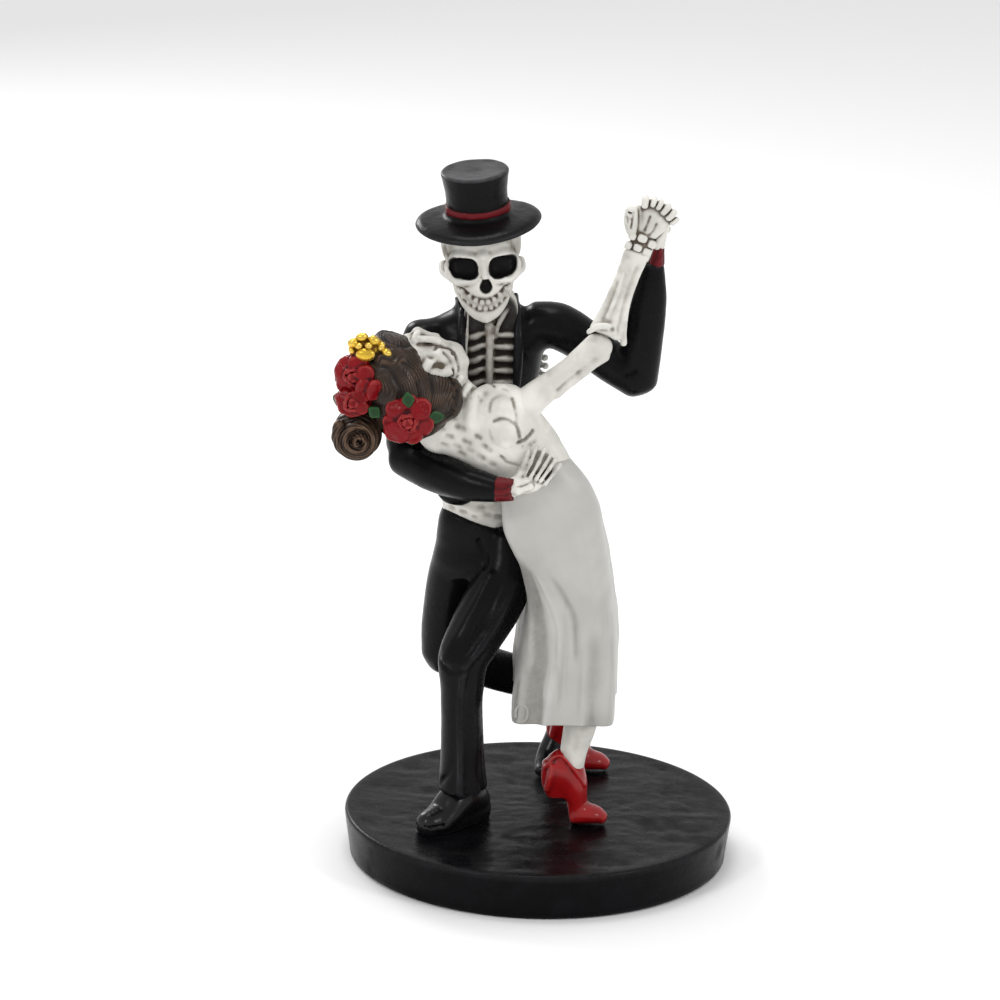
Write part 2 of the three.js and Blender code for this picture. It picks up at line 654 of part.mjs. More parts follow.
function makeBride() {
  const skull = skin(brideSkull, skullWidth, { rings: 5, sides: 10, dome: 0.7 });
  const sockets = [ball(brideSocket.near, brideSocket.size, 6), ball(brideSocket.far, brideSocket.size, 6)];
  return [
    makeDress(),
    skin(brideTorso, torsoWidth, { rings: 4, sides: 10, squareness: 2.3 }),
    skin(brideNeck, across, { rings: 1, sides: 8, dome: 0 }),
    skull.subtract(unite(sockets)),
    skin(brideUpperArm, upright, { rings: 3, sides: 8 }),
    skin(brideForearm, across, { rings: 2, sides: 8 }),
    skin(brideWrist, across, { rings: 1, sides: 8, dome: 0.3 }),
    skin(bridePalm, across, { rings: 2, sides: 8, squareness: 2.5 }),
    skin(brideHoldingArm, upright, { rings: 7, sides: 5, dome: 0 }),
    ...makeHair(), ...roses.map(makeRose), ...makeGoldFlower(), ...leaves.map(makeLeaf),
    ...[...fingers.raised, ...fingers.holding].map(finger),
    makeShoe(0), makeShoe(farShinLean).translate(farFootShift),
  ];
}

// Both figures are cast as one, and cut flat where their soles rest on the plinth.
function makeCouple() {
  const figures = unite([
    ...makeGroomSuit(), makeGroomHead(), ...makeChest(),
    skin(embracingPalm, upright, { rings: 2, sides: 7 }), ...fingers.embracing.map(finger),
    skin(groomPalm, across, { rings: 1, sides: 8 }),
    ...makeBride(),
  ]);
  const ground = new THREE.BoxGeometry(4 * plinth.topRadius, 4 * plinth.topRadius, 2 * floorHeight);
  return figures.subtract(toSolid(ground));
}

function toMesh(name, solid, colour, roughness) {
  const { vertProperties, triVerts } = solid.getMesh();
  const geometry = new THREE.BufferGeometry();
  geometry.setAttribute('position', new THREE.BufferAttribute(new Float32Array(vertProperties), 3));
  geometry.setIndex(new THREE.BufferAttribute(new Uint32Array(triVerts), 1));
  geometry.computeVertexNormals();
  const material = new THREE.MeshStandardMaterial({ color: colour, roughness, metalness: 0 });
  const mesh = new THREE.Mesh(geometry, material);
  mesh.name = name;
  return mesh;
}

const figurine = new THREE.Group();
figurine.add(
  toMesh('plinth', makePlinth(), 0x1b1b1d, 0.45),
  toMesh('dancing_couple', makeCouple(), 0xcfcac2, 0.5),
);

export default figurine;
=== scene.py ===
"""A skeleton groom and bride, cast as one and painted, dancing on a round black plinth.

Shapes are worked out in millimetres in the object's own frame, +Z up and -Y to the front, and are
written in metres.  A cast form is a set of lofted skins and tubes merged in a block of distances, so
that they run into each other as one casting does.  A turned, draped or combed form is a surface of two
parameters on a grid.  Each point carries how hollow its place is, and the paint's wash reads that;
on some pieces these numbers also carry painted shade and painted highlights.
"""
import math

import bpy
import numpy as np
import openvdb
from bpy.props import FloatProperty, FloatVectorProperty, PointerProperty
from mathutils import Matrix, Vector


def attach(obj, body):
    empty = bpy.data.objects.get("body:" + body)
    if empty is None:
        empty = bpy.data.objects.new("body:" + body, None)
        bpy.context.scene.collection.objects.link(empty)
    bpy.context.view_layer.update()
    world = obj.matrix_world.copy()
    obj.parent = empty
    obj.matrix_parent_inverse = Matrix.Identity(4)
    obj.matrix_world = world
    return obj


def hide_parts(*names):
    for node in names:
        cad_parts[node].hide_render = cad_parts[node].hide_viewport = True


bl_info = {
    "name": "Dancing skeleton couple",
    "version": (1, 0, 0),
    "blender": (4, 5, 0),
    "location": "View3D > Sidebar > Figurine",
    "description": "Builds the painted casting of a dancing skeleton couple on its plinth",
    "category": "Add Mesh",
}

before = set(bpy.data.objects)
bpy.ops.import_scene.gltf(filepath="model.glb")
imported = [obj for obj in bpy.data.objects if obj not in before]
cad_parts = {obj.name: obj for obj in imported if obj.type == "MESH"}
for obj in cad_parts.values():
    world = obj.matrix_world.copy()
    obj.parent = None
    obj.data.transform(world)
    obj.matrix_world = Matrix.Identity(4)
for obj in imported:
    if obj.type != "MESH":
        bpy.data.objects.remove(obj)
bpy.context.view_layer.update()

MM = 0.001
ACROSS = (1.0, 0.0, 0.0)
UPRIGHT = (0.0, 0.0, 1.0)
AWAY = (0.0, 1.0, 0.0)
LATTICE_PRIMES = (73856093, 19349663, 83492791)


# Numbers along curves

def row_at(rows, t):
    """A Catmull-Rom curve through rows of numbers, read at an array of parameters t, 0 at the first row."""
    rows = np.asarray(rows, float)
    last = len(rows) - 1
    start = np.clip(np.floor(t).astype(int), 0, max(last - 1, 0))
    part = (t - start)[:, None]
    a, b, c, d = (rows[np.clip(start + k, 0, last)] for k in (-1, 0, 1, 2))
    return b + 0.5 * part * (c - a + part * (2 * a - 5 * b + 4 * c - d + part * (3 * (b - c) + d - a)))


def unit(v):
    """Vectors along the last axis, made one long."""
    v = np.asarray(v, float)
    return v / np.maximum(np.linalg.norm(v, axis=-1, keepdims=True), 1e-9)


def ease(low, high, value):
    """0 below low, 1 above high, and a smooth S between them."""
    t = np.clip((value - low) / (high - low), 0.0, 1.0)
    return t * t * (3 - 2 * t)


def cell_corners(part):
    """The eight corners of a lattice cell, with their shares for points part of the way across."""
    for corner in range(8):
        bits = np.array([corner & 1, corner >> 1 & 1, corner >> 2 & 1])
        yield bits, np.prod(np.where(bits, part, 1 - part), axis=-1)


def noise(points, size, seed=0):
    """Smooth value noise from -1 to 1: random numbers on a lattice of the given size, eased between."""
    q = np.asarray(points, float) / size + 1000.0
    cell = np.floor(q).astype(np.int64)
    f = q - cell
    f = f * f * (3 - 2 * f)
    total = 0.0
    for bits, share in cell_corners(f):
        key = (cell + bits) * np.array(LATTICE_PRIMES)
        mixed = (key[..., 0] ^ key[..., 1] ^ key[..., 2]) + seed * 9176213
        mixed = (mixed ^ (mixed >> 13)) * 1274126177 & 0x7FFFFFFF
        value = ((mixed >> 7) & 0xFFFF) / 32767.5 - 1.0
        total = total + value * share
    return total


def layers(points, size, seed=0, octaves=3):
    """Noise added at halved sizes and halved heights."""
    return sum(noise(points, size / 2**k, seed + k) / 2**k for k in range(octaves))


# Surfaces of two parameters

class Form:
    """Points with four- and three-cornered faces, and one number a point for each named quality."""

    def __init__(self, points, quads, tris=(), **qualities):
        self.points = np.asarray(points, float)
        self.quads = np.asarray(quads, np.int64).reshape(-1, 4)
        self.tris = np.asarray(tris, np.int64).reshape(-1, 3)
        self.qualities = {name: np.asarray(value, float) for name, value in qualities.items()}
        if self.volume() < 0:
            self.quads = self.quads[:, ::-1]
            self.tris = self.tris[:, ::-1]

    def corners(self):
        """All faces as triangles, each quad cut in two."""
        q = self.quads
        return np.concatenate([q[:, [0, 1, 2]], q[:, [0, 2, 3]], self.tris])

    def volume(self):
        """The volume inside, below 0 where the faces point inwards."""
        a, b, c = (self.points[self.corners()[:, k]] for k in range(3))
        return float(np.einsum("ij,ij->i", a, np.cross(b, c)).sum() / 6)

    def normals(self):
        """One normal a point: the sum of the face normals round it, weighted by their areas."""
        tri = self.corners()
        a, b, c = (self.points[tri[:, k]] for k in range(3))
        face = np.cross(b - a, c - a)
        out = np.zeros_like(self.points)
        for k in range(3):
            for axis in range(3):
                out[:, axis] += np.bincount(tri[:, k], face[:, axis], len(self.points))
        return unit(out)

    def around(self):
        """A function that gives the mean of some values over the neighbours of each point."""
        q, t = self.quads, self.tris
        edges = [q[:, [k, (k + 1) % 4]] for k in range(4)] + [t[:, [k, (k + 1) % 3]] for k in range(3)]
        edges = np.concatenate(edges)
        start = np.concatenate([edges[:, 0], edges[:, 1]])
        end = np.concatenate([edges[:, 1], edges[:, 0]])
        count = np.maximum(np.bincount(start, minlength=len(self.points)), 1)
        return lambda values: np.bincount(start, values[end], len(count)) / count

    def relaxed(self, rounds):
        """Points drawn to their neighbours' mean and pushed back, which evens without shrinking."""
        mean = self.around()
        for share in (0.5, -0.515) * rounds:
            middle = np.stack([mean(line) for line in self.points.T], 1)
            self.points = self.points + share * (middle - self.points)
        return self

    def blended(self, name, rounds, share=1.0):
        """A quality evened out between neighbours, then scaled."""
        mean = self.around()
        for _ in range(rounds):
            self.qualities[name] = (self.qualities[name] + mean(self.qualities[name])) / 2
        self.qualities[name] = self.qualities[name] * share
        return self

    def raised(self, height):
        """Each point moved along its normal by its own height in millimetres."""
        self.points = self.points + self.normals() * np.asarray(height)[:, None]
        return self

    def roughened(self, height, size, seed):
        """Raised and sunk by noise with waves of the given size."""
        return self.raised(height * layers(self.points, size, seed))

    def washed(self, more, share=1.0):
        """A share of the wash that is there, and more, kept between 0 and 1."""
        self.qualities["wash"] = np.clip(self.qualities["wash"] * share + more, 0, 1)
        return self

    def joined(self, *others):
        """Several forms as one, with the qualities that the first one has."""
        forms = (self, *others)
        starts = np.cumsum([0] + [len(form.points) for form in forms])
        return Form(
            np.concatenate([form.points for form in forms]),
            np.concatenate([form.quads + start for form, start in zip(forms, starts)]),
            np.concatenate([form.tris + start for form, start in zip(forms, starts)]),
            **{name: np.concatenate([form.qualities.get(name, np.zeros(len(form.points))) for form in forms])
               for name in self.qualities},
        )

    def placed(self, axes, origin):
        """The form carried from local axes (rows) to the object's frame."""
        self.points = self.points @ np.asarray(axes, float) + np.asarray(origin, float)
        return self


def faces_between(numbers):
    """Quads between the neighbouring rows and columns of a table of point numbers."""
    low, high = numbers[:-1], numbers[1:]
    return np.stack([low[:, :-1], low[:, 1:], high[:, 1:], high[:, :-1]], -1).reshape(-1, 4)


def closed_grid(rings, first, last):
    """Rings of points (rings, sides, 3), shut by one point at each end."""
    count, sides = rings.shape[:2]
    points = np.concatenate([[first], rings.reshape(-1, 3), [last]])
    numbers = np.pad(np.arange(count * sides).reshape(count, sides) + 1, ((0, 0), (0, 1)), mode="wrap")
    start, end = numbers[0], numbers[-1]
    tris = np.concatenate([
        np.stack([np.zeros(sides, int), start[1:], start[:-1]], -1),
        np.stack([np.full(sides, len(points) - 1), end[:-1], end[1:]], -1),
    ])
    return Form(points, faces_between(numbers), tris)


def section_frames(rows, width, rings, level):
    """Centres, half sizes and three directions at rings + 1 places along lofted rows.

    Sections stand square to the path or, where level is given, square to that direction.
    """
    r = row_at(rows, np.linspace(0, len(rows) - 1, rings + 1))
    tangent = np.broadcast_to(level, (rings + 1, 3)) if level else unit(np.gradient(r[:, :3], axis=0))
    width = np.asarray(width, float)
    wide = unit(width - (tangent @ width)[:, None] * tangent)
    return r[:, :3], r[:, 3:5], tangent, wide, np.cross(tangent, wide)


def skin(rows, width, rings=36, sides=40, square=2.0, dome=0.7, dome_end=None, level=None):
    """Oval sections carried along a path: centre + wide*c*w + deep*s*d, shut by domes at both ends.

    A row is the centre's x, y and z, then the section's half size along width and across it.
    """
    centre, half, tangent, wide, deep = section_frames(rows, width, rings, level)
    angle = 2 * np.pi * np.arange(sides) / sides
    c, s = np.cos(angle), np.sin(angle)
    radius = (np.abs(c) ** square + np.abs(s) ** square) ** (-1 / square)

    def oval(i, shift, share):
        middle = centre[i] + tangent[i] * shift
        return (middle + np.outer(c * radius * half[i, 0] * share, wide[i])
                + np.outer(s * radius * half[i, 1] * share, deep[i]))

    def cap(i, sign, roundness):
        reach = half[i].min() * roundness
        turns = np.linspace(0, np.pi / 2, 7)[1:-1] if roundness else []
        rings_out = [oval(i, sign * reach * math.sin(turn), math.cos(turn)) for turn in turns]
        return rings_out, centre[i] + tangent[i] * sign * reach

    start, first = cap(0, -1, dome)
    end, last = cap(rings, 1, dome if dome_end is None else dome_end)
    body = [oval(i, 0.0, 1.0) for i in range(rings + 1)]
    return closed_grid(np.array(start[::-1] + body + end), first, last)


def turned(profile, sides, wobble=0.0, seed=0):
    """A profile of (radius, height) turned about the vertical, with the slight waver of hand work."""
    profile = np.asarray(profile, float)
    angle = 2 * np.pi * np.arange(sides) / sides
    radius = profile[1:-1, 0][:, None]
    height = np.repeat(profile[1:-1, 1][:, None], sides, 1)
    rings = np.stack([radius * np.cos(angle), radius * np.sin(angle), height], -1)
    if wobble:
        rings = rings + wobble * layers(rings, 9.0, seed)[..., None] * unit(rings - (0, 0, 6))
    return closed_grid(rings, (0, 0, profile[0, 1]), (0, 0, profile[-1, 1]))


def eased_profile(points, count):
    """A profile through corner points with each corner slightly rounded."""
    points = np.asarray(points, float)
    along = np.concatenate([[0], np.cumsum(np.linalg.norm(np.diff(points, axis=0), axis=1))])
    t = np.linspace(0, along[-1], count)
    line = np.stack([np.interp(t, along, points[:, k]) for k in range(2)], 1)
    for _ in range(3):
        line[1:-1] = (line[:-2] + 2 * line[1:-1] + line[2:]) / 4
    return line


# Cast forms, merged in a block of distances

class Clay:
    """A block of distances to a surface, negative inside it, sampled every step millimetres.

    A form that is merged changes the block up to margin millimetres beyond its own box.
    """

    margin = 2.4

    def __init__(self, low, high, step):
        self.low = np.asarray(low, float)
        self.step = step
        self.shape = tuple(np.ceil((np.asarray(high) - self.low) / step).astype(int) + 1)
        self.far = 6 * step
        self.field = np.full(self.shape, self.far, np.float32)

    def window(self, low, high):
        """The part of the block round a box, as slices and as the coordinates of its samples."""
        first = np.clip(np.floor((np.asarray(low) - self.margin - self.low) / self.step), 0, self.shape)
        last = np.clip(np.ceil((np.asarray(high) + self.margin - self.low) / self.step) + 1, 0, self.shape)
        spans = [slice(int(a), int(b)) for a, b in zip(first, last)]
        lines = [self.low[k] + self.step * np.arange(spans[k].start, spans[k].stop) for k in range(3)]
        return tuple(spans), np.meshgrid(*lines, indexing="ij", sparse=True)

    def merge(self, spans, distance, soft, cut=False):
        """Joins a distance to the block, or cuts it away, with a fillet about soft millimetres wide."""
        sign = -1.0 if cut else 1.0
        here = sign * self.field[spans]
        near = np.maximum(soft - np.abs(here - distance), 0.0) / soft
        self.field[spans] = sign * (np.minimum(here, distance) - near * near * soft / 4)
        return self

    def skin(self, rows, width, soft=0.6, **shape):
        """A lofted skin, merged by the distance that a level set gives."""
        form = skin(rows, width, **shape)
        spans, _ = self.window(form.points.min(0), form.points.max(0))
        grid = openvdb.FloatGrid.createLevelSetFromPolygons(
            np.ascontiguousarray((form.points - self.low) / self.step, np.float32),
            triangles=np.ascontiguousarray(form.corners(), np.uint32), halfWidth=6.0,
        )
        values = np.full([span.stop - span.start for span in spans], 6.0, np.float32)
        grid.copyToArray(values, ijk=tuple(span.start for span in spans))
        return self.merge(spans, values * self.step, soft)

    def tube(self, path, radii, soft=0.4, cut=False, smooth=True):
        """A round bar along a path, of one radius or of one for each point of the path."""
        rows = np.column_stack([np.asarray(path, float), np.broadcast_to(radii, len(path))])
        if smooth and len(rows) > 2:
            rows = row_at(rows, np.linspace(0, len(rows) - 1, 5 * (len(rows) - 1) + 1))
        reach = rows[:, 3].max()
        spans, (x, y, z) = self.window(rows[:, :3].min(0) - reach, rows[:, :3].max(0) + reach)
        best = np.full([span.stop - span.start for span in spans], self.far, np.float32)
        for a, b in zip(rows[:-1], rows[1:]):
            span = b[:3] - a[:3]
            t = (x - a[0]) * span[0] + (y - a[1]) * span[1] + (z - a[2]) * span[2]
            t = np.clip(t / max(span @ span, 1e-9), 0, 1)
            gap = np.sqrt((x - a[0] - t * span[0]) ** 2 + (y - a[1] - t * span[1]) ** 2
                          + (z - a[2] - t * span[2]) ** 2)
            best = np.minimum(best, gap - (a[3] + t * (b[3] - a[3])))
        return self.merge(spans, best, soft, cut)

    def creased(self, creases, soft):
        """Grooves that taper to both ends, each given by its path and its radius half way."""
        for path, radius in creases:
            self.tube(path, [radius * 0.5, radius, radius * 0.4], soft=soft, cut=True)

    def lump(self, centre, size, soft=0.6, cut=False, power=2.0, axes=None):
        """An egg or, at a higher power, a pillow: (|x/a|^p + |y/b|^p + |z/c|^p)^(1/p) = 1."""
        centre, size = np.asarray(centre, float), np.asarray(size, float)
        reach = size if axes is None else np.full(3, size.max())
        spans, grid = self.window(centre - reach, centre + reach)
        offset = [grid[k] - centre[k] for k in range(3)]
        if axes is not None:
            offset = [sum(offset[k] * axis[k] for k in range(3)) for axis in unit(axes)]
        parts = [np.abs(offset[k] / size[k]) ** power for k in range(3)]
        rise = (parts[0] + parts[1] + parts[2]) ** (1 / power)
        slope = sum((np.abs(offset[k]) / size[k] ** 2) ** 2 for k in range(3)) ** 0.5
        flat = np.maximum(slope / np.maximum(rise, 1e-6), 1.0 / size.max())
        distance = (rise - 1) / flat if power == 2.0 else (rise - 1) * size.min()
        return self.merge(spans, np.clip(distance, -self.far, self.far), soft, cut)

    def cut_below(self, height):
        """A flat underside."""
        z = self.low[2] + self.step * np.arange(self.shape[2])
        self.field = np.maximum(self.field, (height - z)[None, None, :].astype(np.float32))

    def on_front(self, places, lift, axis=1):
        """Places with one coordinate left out, carried along that axis onto what is in the block, then
        moved out by lift.  A lone place is given twice, as the two ends of a bar."""
        path = []
        for place in places if len(places) > 1 else list(places) * 2:
            at = [int(round((c - low) / self.step)) for c, low in zip(place, np.delete(self.low, axis))]
            at.insert(axis, slice(None))
            inside = np.flatnonzero(self.field[tuple(at)] < 0)
            first = inside[0] if len(inside) else self.shape[axis] // 2
            front = self.low[axis] + self.step * (first - 0.5)
            path.append(np.insert(np.asarray(place, float), axis, front - lift))
        return path

    def engraved(self, places, radius, depth, soft=0.25, axis=1):
        """A round-bottomed groove, or a pit where there is one place, sunk in the front to a depth."""
        path = self.on_front(places, radius - depth, axis)
        return self.tube(path, radius, soft=soft, cut=True, smooth=len(places) > 2)

    def beaded(self, places, radius, height, soft=0.8):
        """A rounded ridge, or a bead where there is one place, that stands out of the front by a height."""
        path = self.on_front(places, height - radius)
        return self.tube(path, radius, soft=soft, smooth=len(places) > 2)

    def blurred(self, radius):
        """How much of the space round each sample is solid: a box mean of the given radius, twice."""
        solid = np.clip(0.5 - self.field / self.step, 0, 1)
        reach = max(int(round(radius / self.step)), 1)
        for axis in (0, 1, 2) * 2:
            pads = [(reach + 1, reach) if k == axis else (0, 0) for k in range(3)]
            total = np.cumsum(np.pad(solid, pads, mode="edge"), axis=axis)
            width = 2 * reach + 1
            ahead = [slice(width, None) if k == axis else slice(None) for k in range(3)]
            behind = [slice(None, -width) if k == axis else slice(None) for k in range(3)]
            solid = (total[tuple(ahead)] - total[tuple(behind)]) / width
        return solid

    def sample(self, values, points):
        """Values of the block's samples at points, read linearly between them."""
        q = np.clip((points - self.low) / self.step, 0, np.array(self.shape) - 1.001)
        cell = q.astype(int)
        total = 0.0
        for bits, share in cell_corners(q - cell):
            at = cell + bits
            total = total + values[at[:, 0], at[:, 1], at[:, 2]] * share
        return total

    def form(self, fine=0.7, broad=2.2, relax=2):
        """The surface as a form.  wash is 0 on flats and ridges and rises to 1 in creases."""
        grid = openvdb.FloatGrid(self.far)
        grid.copyFromArray(self.field)
        points, quads = grid.convertToQuads(isovalue=0.0)
        form = Form(points * self.step + self.low, quads).relaxed(relax)
        crease = self.sample(self.blurred(fine), form.points)
        hollow = self.sample(self.blurred(broad), form.points)
        form.qualities["wash"] = np.clip(ease(0.505, 0.60, crease) + 0.5 * ease(0.50, 0.68, hollow), 0, 1)
        form.qualities["edge"] = ease(0.44, 0.34, crease)
        return form.blended("wash", 2)


# Paint

def feed(tree, place, value):
    """Gives a socket its value, or the link that a Tone stands for."""
    if isinstance(value, Tone):
        tree.links.new(value.socket, place)
    else:
        place.default_value = value


def add_node(tree, kind, output, settings, inputs):
    """Any node: its settings first, then its inputs by name or number; gives the output asked for."""
    made = tree.nodes.new(kind)
    for name, value in settings.items():
        setattr(made, name, value)
    for place, value in inputs.items():
        feed(tree, made.inputs[place], value)
    return Tone(tree, made.outputs[output])


class Tone:
    """A shader socket on which arithmetic makes Math nodes."""

    def __init__(self, tree, socket):
        self.tree = tree
        self.socket = socket

    def _join(self, kind, first, second):
        return add_node(self.tree, "ShaderNodeMath", 0, {"operation": kind}, {0: first, 1: second})

    def __add__(self, other):
        return self._join("ADD", self, other)

    def __radd__(self, other):
        return self._join("ADD", other, self)

    def __sub__(self, other):
        return self._join("SUBTRACT", self, other)

    def __rsub__(self, other):
        return self._join("SUBTRACT", other, self)

    def __mul__(self, other):
        return self._join("MULTIPLY", self, other)

    def __rmul__(self, other):
        return self._join("MULTIPLY", other, self)

    def clipped(self):
        """Kept between 0 and 1."""
        return self._join("MINIMUM", self._join("MAXIMUM", self, 0.0), 1.0)

    def eased(self, low, high):
        """A smooth step from 0 at low to 1 at high."""
        return add_node(self.tree, "ShaderNodeMapRange", "Result", {"interpolation_type": "SMOOTHSTEP"},
                        {"Value": self, "From Min": low, "From Max": high})


class Paint:
    """A painted finish: a Principled shader with its colours mixed from wash, wear and fine noise."""

    def __init__(self, name):
        self.material = bpy.data.materials.new(name)
        self.material.use_nodes = True
        self.tree = self.material.node_tree
        self.tree.nodes.clear()
        self.shader = self.tree.nodes.new("ShaderNodeBsdfPrincipled")
        output = self.tree.nodes.new("ShaderNodeOutputMaterial")
        self.tree.links.new(self.shader.outputs["BSDF"], output.inputs["Surface"])
        self.place = self.node("ShaderNodeTexCoord", "Object")

    def node(self, kind, output, settings=None, **inputs):
        """A node of this paint's own tree, with its inputs given by name."""
        return add_node(self.tree, kind, output, settings or {}, inputs)

    def quality(self, name):
        """The number that each point carries under this name."""
        return self.node("ShaderNodeAttribute", "Fac", {"attribute_name": name})

    def grain(self, per_metre, detail=3.0, roughness=0.55):
        """Noise from 0 to 1 at a number of features a metre."""
        return self.node("ShaderNodeTexNoise", "Fac", Vector=self.place, Scale=per_metre,
                         Detail=detail, Roughness=roughness)

    def mixed(self, share, first, second):
        """Two colours, each given as three numbers or as a Tone, mixed by a Tone."""
        first, second = (value if isinstance(value, Tone) else (*value, 1.0) for value in (first, second))
        inputs = {0: share, 6: first, 7: second}
        return add_node(self.tree, "ShaderNodeMix", 2, {"data_type": "RGBA"}, inputs)

    def set(self, **inputs):
        """The shader's own inputs, by name, as numbers or as Tones."""
        for name, value in inputs.items():
            feed(self.tree, self.shader.inputs[name.replace("_", " ")], value)
        return self

    def bumped(self, height, strength, distance):
        """Fine relief in the shader's normal, at most distance metres high."""
        normal = self.node("ShaderNodeBump", "Normal", Height=height, Strength=strength, Distance=distance)
        return self.set(Normal=normal)


def painted(name, colour, wash, wear_and_highlight, rough=0.4, wash_share=1.0, wear_and_highlight_share=0.3, gloss=0.0,
            metal=0.0, grain=0.12, uneven=0.12, shine=0.5):
    """Paint over a cast surface: a darker tone in the hollows, which is a wash and on some pieces painted
    shade; a lighter tone on edges, which is wear and on some pieces a painted highlight; uneven brushing.
    """
    paint = Paint(name)
    cloud = paint.grain(130.0)
    speck = paint.grain(1400.0, detail=2.0)
    streak = paint.grain(420.0, detail=4.0, roughness=0.65)
    light = [min(1.0, c * (1 + uneven)) for c in colour]
    dark = [c * (1 - uneven) for c in colour]
    base = paint.mixed(cloud.eased(0.3, 0.7), dark, light)
    # The hollows' darker tone is a wash, and painted shade on the dress, chest, shins and the sheet behind
    # the embracing fingers; the edges' lighter tone is wear, and a painted highlight on the hat, dress,
    # plinth rim and hair.
    hollow = (paint.quality("wash") * wash_share * (0.55 + 0.9 * streak)).clipped()
    edge = (paint.quality("edge") * wear_and_highlight_share * (0.3 + 1.2 * streak)).clipped()
    base = paint.mixed(hollow, base, wash)
    base = paint.mixed(edge, base, wear_and_highlight)
    # Near-black where a point is deep: the painted sockets and nose, the red shoes' heel tips and bottom
    # edges, and painted shade behind the chest's ribs and the embracing fingers.
    base = paint.mixed(paint.quality("deep"), base, (0.006, 0.005, 0.005))
    paint.set(
        Base_Color=base,
        Roughness=(rough + 0.14 * (streak - 0.5) + 0.25 * hollow).clipped(),
        Metallic=metal, Coat_Weight=gloss, Coat_Roughness=0.14, Specular_IOR_Level=shine,
    )
    return paint.bumped(speck * 0.35 + streak * 0.65, grain, 0.0004)


def finish(name):
    """The paint of that name, made once."""
    return bpy.data.materials.get(name) or painted(name, **FINISHES[name]).material


def shown(form, name, paint="bone", node="dancing_couple"):
    """One finished piece: its mesh in metres, its qualities, its paint, and the solid that it stands for."""
    mesh = bpy.data.meshes.new(name)
    counts = np.concatenate([np.full(len(form.quads), 4), np.full(len(form.tris), 3)])
    corners = np.concatenate([form.quads.reshape(-1), form.tris.reshape(-1)])
    mesh.vertices.add(len(form.points))
    mesh.vertices.foreach_set("co", (form.points * MM).astype(np.float32).reshape(-1))
    mesh.loops.add(len(corners))
    mesh.loops.foreach_set("vertex_index", corners.astype(np.int32))
    mesh.polygons.add(len(counts))
    mesh.polygons.foreach_set("loop_start", (np.cumsum(counts) - counts).astype(np.int32))
    mesh.polygons.foreach_set("use_smooth", np.ones(len(counts), bool))
    mesh.update(calc_edges=True)
    for quality, values in form.qualities.items():
        layer = mesh.attributes.new(quality, "FLOAT", "POINT")
        layer.data.foreach_set("value", values.astype(np.float32))
    mesh.materials.append(finish(paint))
    piece = bpy.data.objects.new(name, mesh)
    bpy.context.scene.collection.objects.link(piece)
    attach(piece, "root")
    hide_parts(node)
    return piece


BLACK = dict(colour=(0.0042, 0.0042, 0.0050), wash=(0.003, 0.003, 0.003), wear_and_highlight=(0.045, 0.045, 0.05))
RED = dict(wash=(0.05, 0.002, 0.004), wear_and_highlight=(0.62, 0.10, 0.09))
FINISHES = {
    "plinth_black": dict(colour=(0.0030, 0.0028, 0.0036), wash=(0.002, 0.002, 0.002),
                         wear_and_highlight=(0.03, 0.03, 0.032), rough=0.26, wear_and_highlight_share=0.4, grain=0.22, uneven=0.35,
                         shine=0.07),
    "black_cloth": dict(**BLACK, rough=0.28, shine=0.10),
    "black_leather": dict(**BLACK, rough=0.26, gloss=0.05, shine=0.25),
    # The felt's lighter tone is the painted reflection on the hat's top and the painted highlight on its
    # brim.
    "black_felt": dict(colour=BLACK["colour"], wash=BLACK["wash"], wear_and_highlight=(0.12, 0.12, 0.125), rough=0.30,
                       wear_and_highlight_share=0.6, grain=0.3, shine=0.11),
    "dark_red": dict(colour=(0.115, 0.004, 0.007), wash=(0.02, 0.002, 0.002), wear_and_highlight=(0.30, 0.02, 0.03),
                     shine=0.2),
    "rose_red": dict(colour=(0.20, 0.003, 0.006), **RED, rough=0.28, wear_and_highlight_share=0.25, gloss=0.08,
                     shine=0.15),
    "shoe_red": dict(colour=(0.33, 0.006, 0.008), **RED, rough=0.24, wear_and_highlight_share=0.2, gloss=0.25,
                     grain=0.06, shine=0.25),
    "leaf_green": dict(colour=(0.010, 0.045, 0.012), wash=(0.003, 0.010, 0.004), wear_and_highlight=(0.04, 0.14, 0.04),
                       shine=0.25),
    "gold": dict(colour=(0.78, 0.50, 0.05), wash=(0.14, 0.06, 0.008), wear_and_highlight=(0.95, 0.78, 0.32),
                 rough=0.28, metal=0.8, grain=0.06),
    "hair_brown": dict(colour=(0.027, 0.017, 0.012), wash=(0.006, 0.004, 0.004), wear_and_highlight=(0.19, 0.11, 0.065),
                       rough=0.34, wear_and_highlight_share=0.8, gloss=0.06, uneven=0.4, shine=0.2),
    "bone": dict(colour=(0.76, 0.745, 0.69), wash=(0.125, 0.100, 0.075), wear_and_highlight=(0.86, 0.85, 0.82), rough=0.42,
                 shine=0.16),
    # The dress's darker tone is painted shade, and its lighter tone a painted highlight.
    "dress_white": dict(colour=(0.49, 0.485, 0.455), wash=(0.24, 0.23, 0.21), wear_and_highlight=(0.70, 0.70, 0.68),
                        rough=0.40, wash_share=0.8, grain=0.06, uneven=0.04),
}


# The plinth

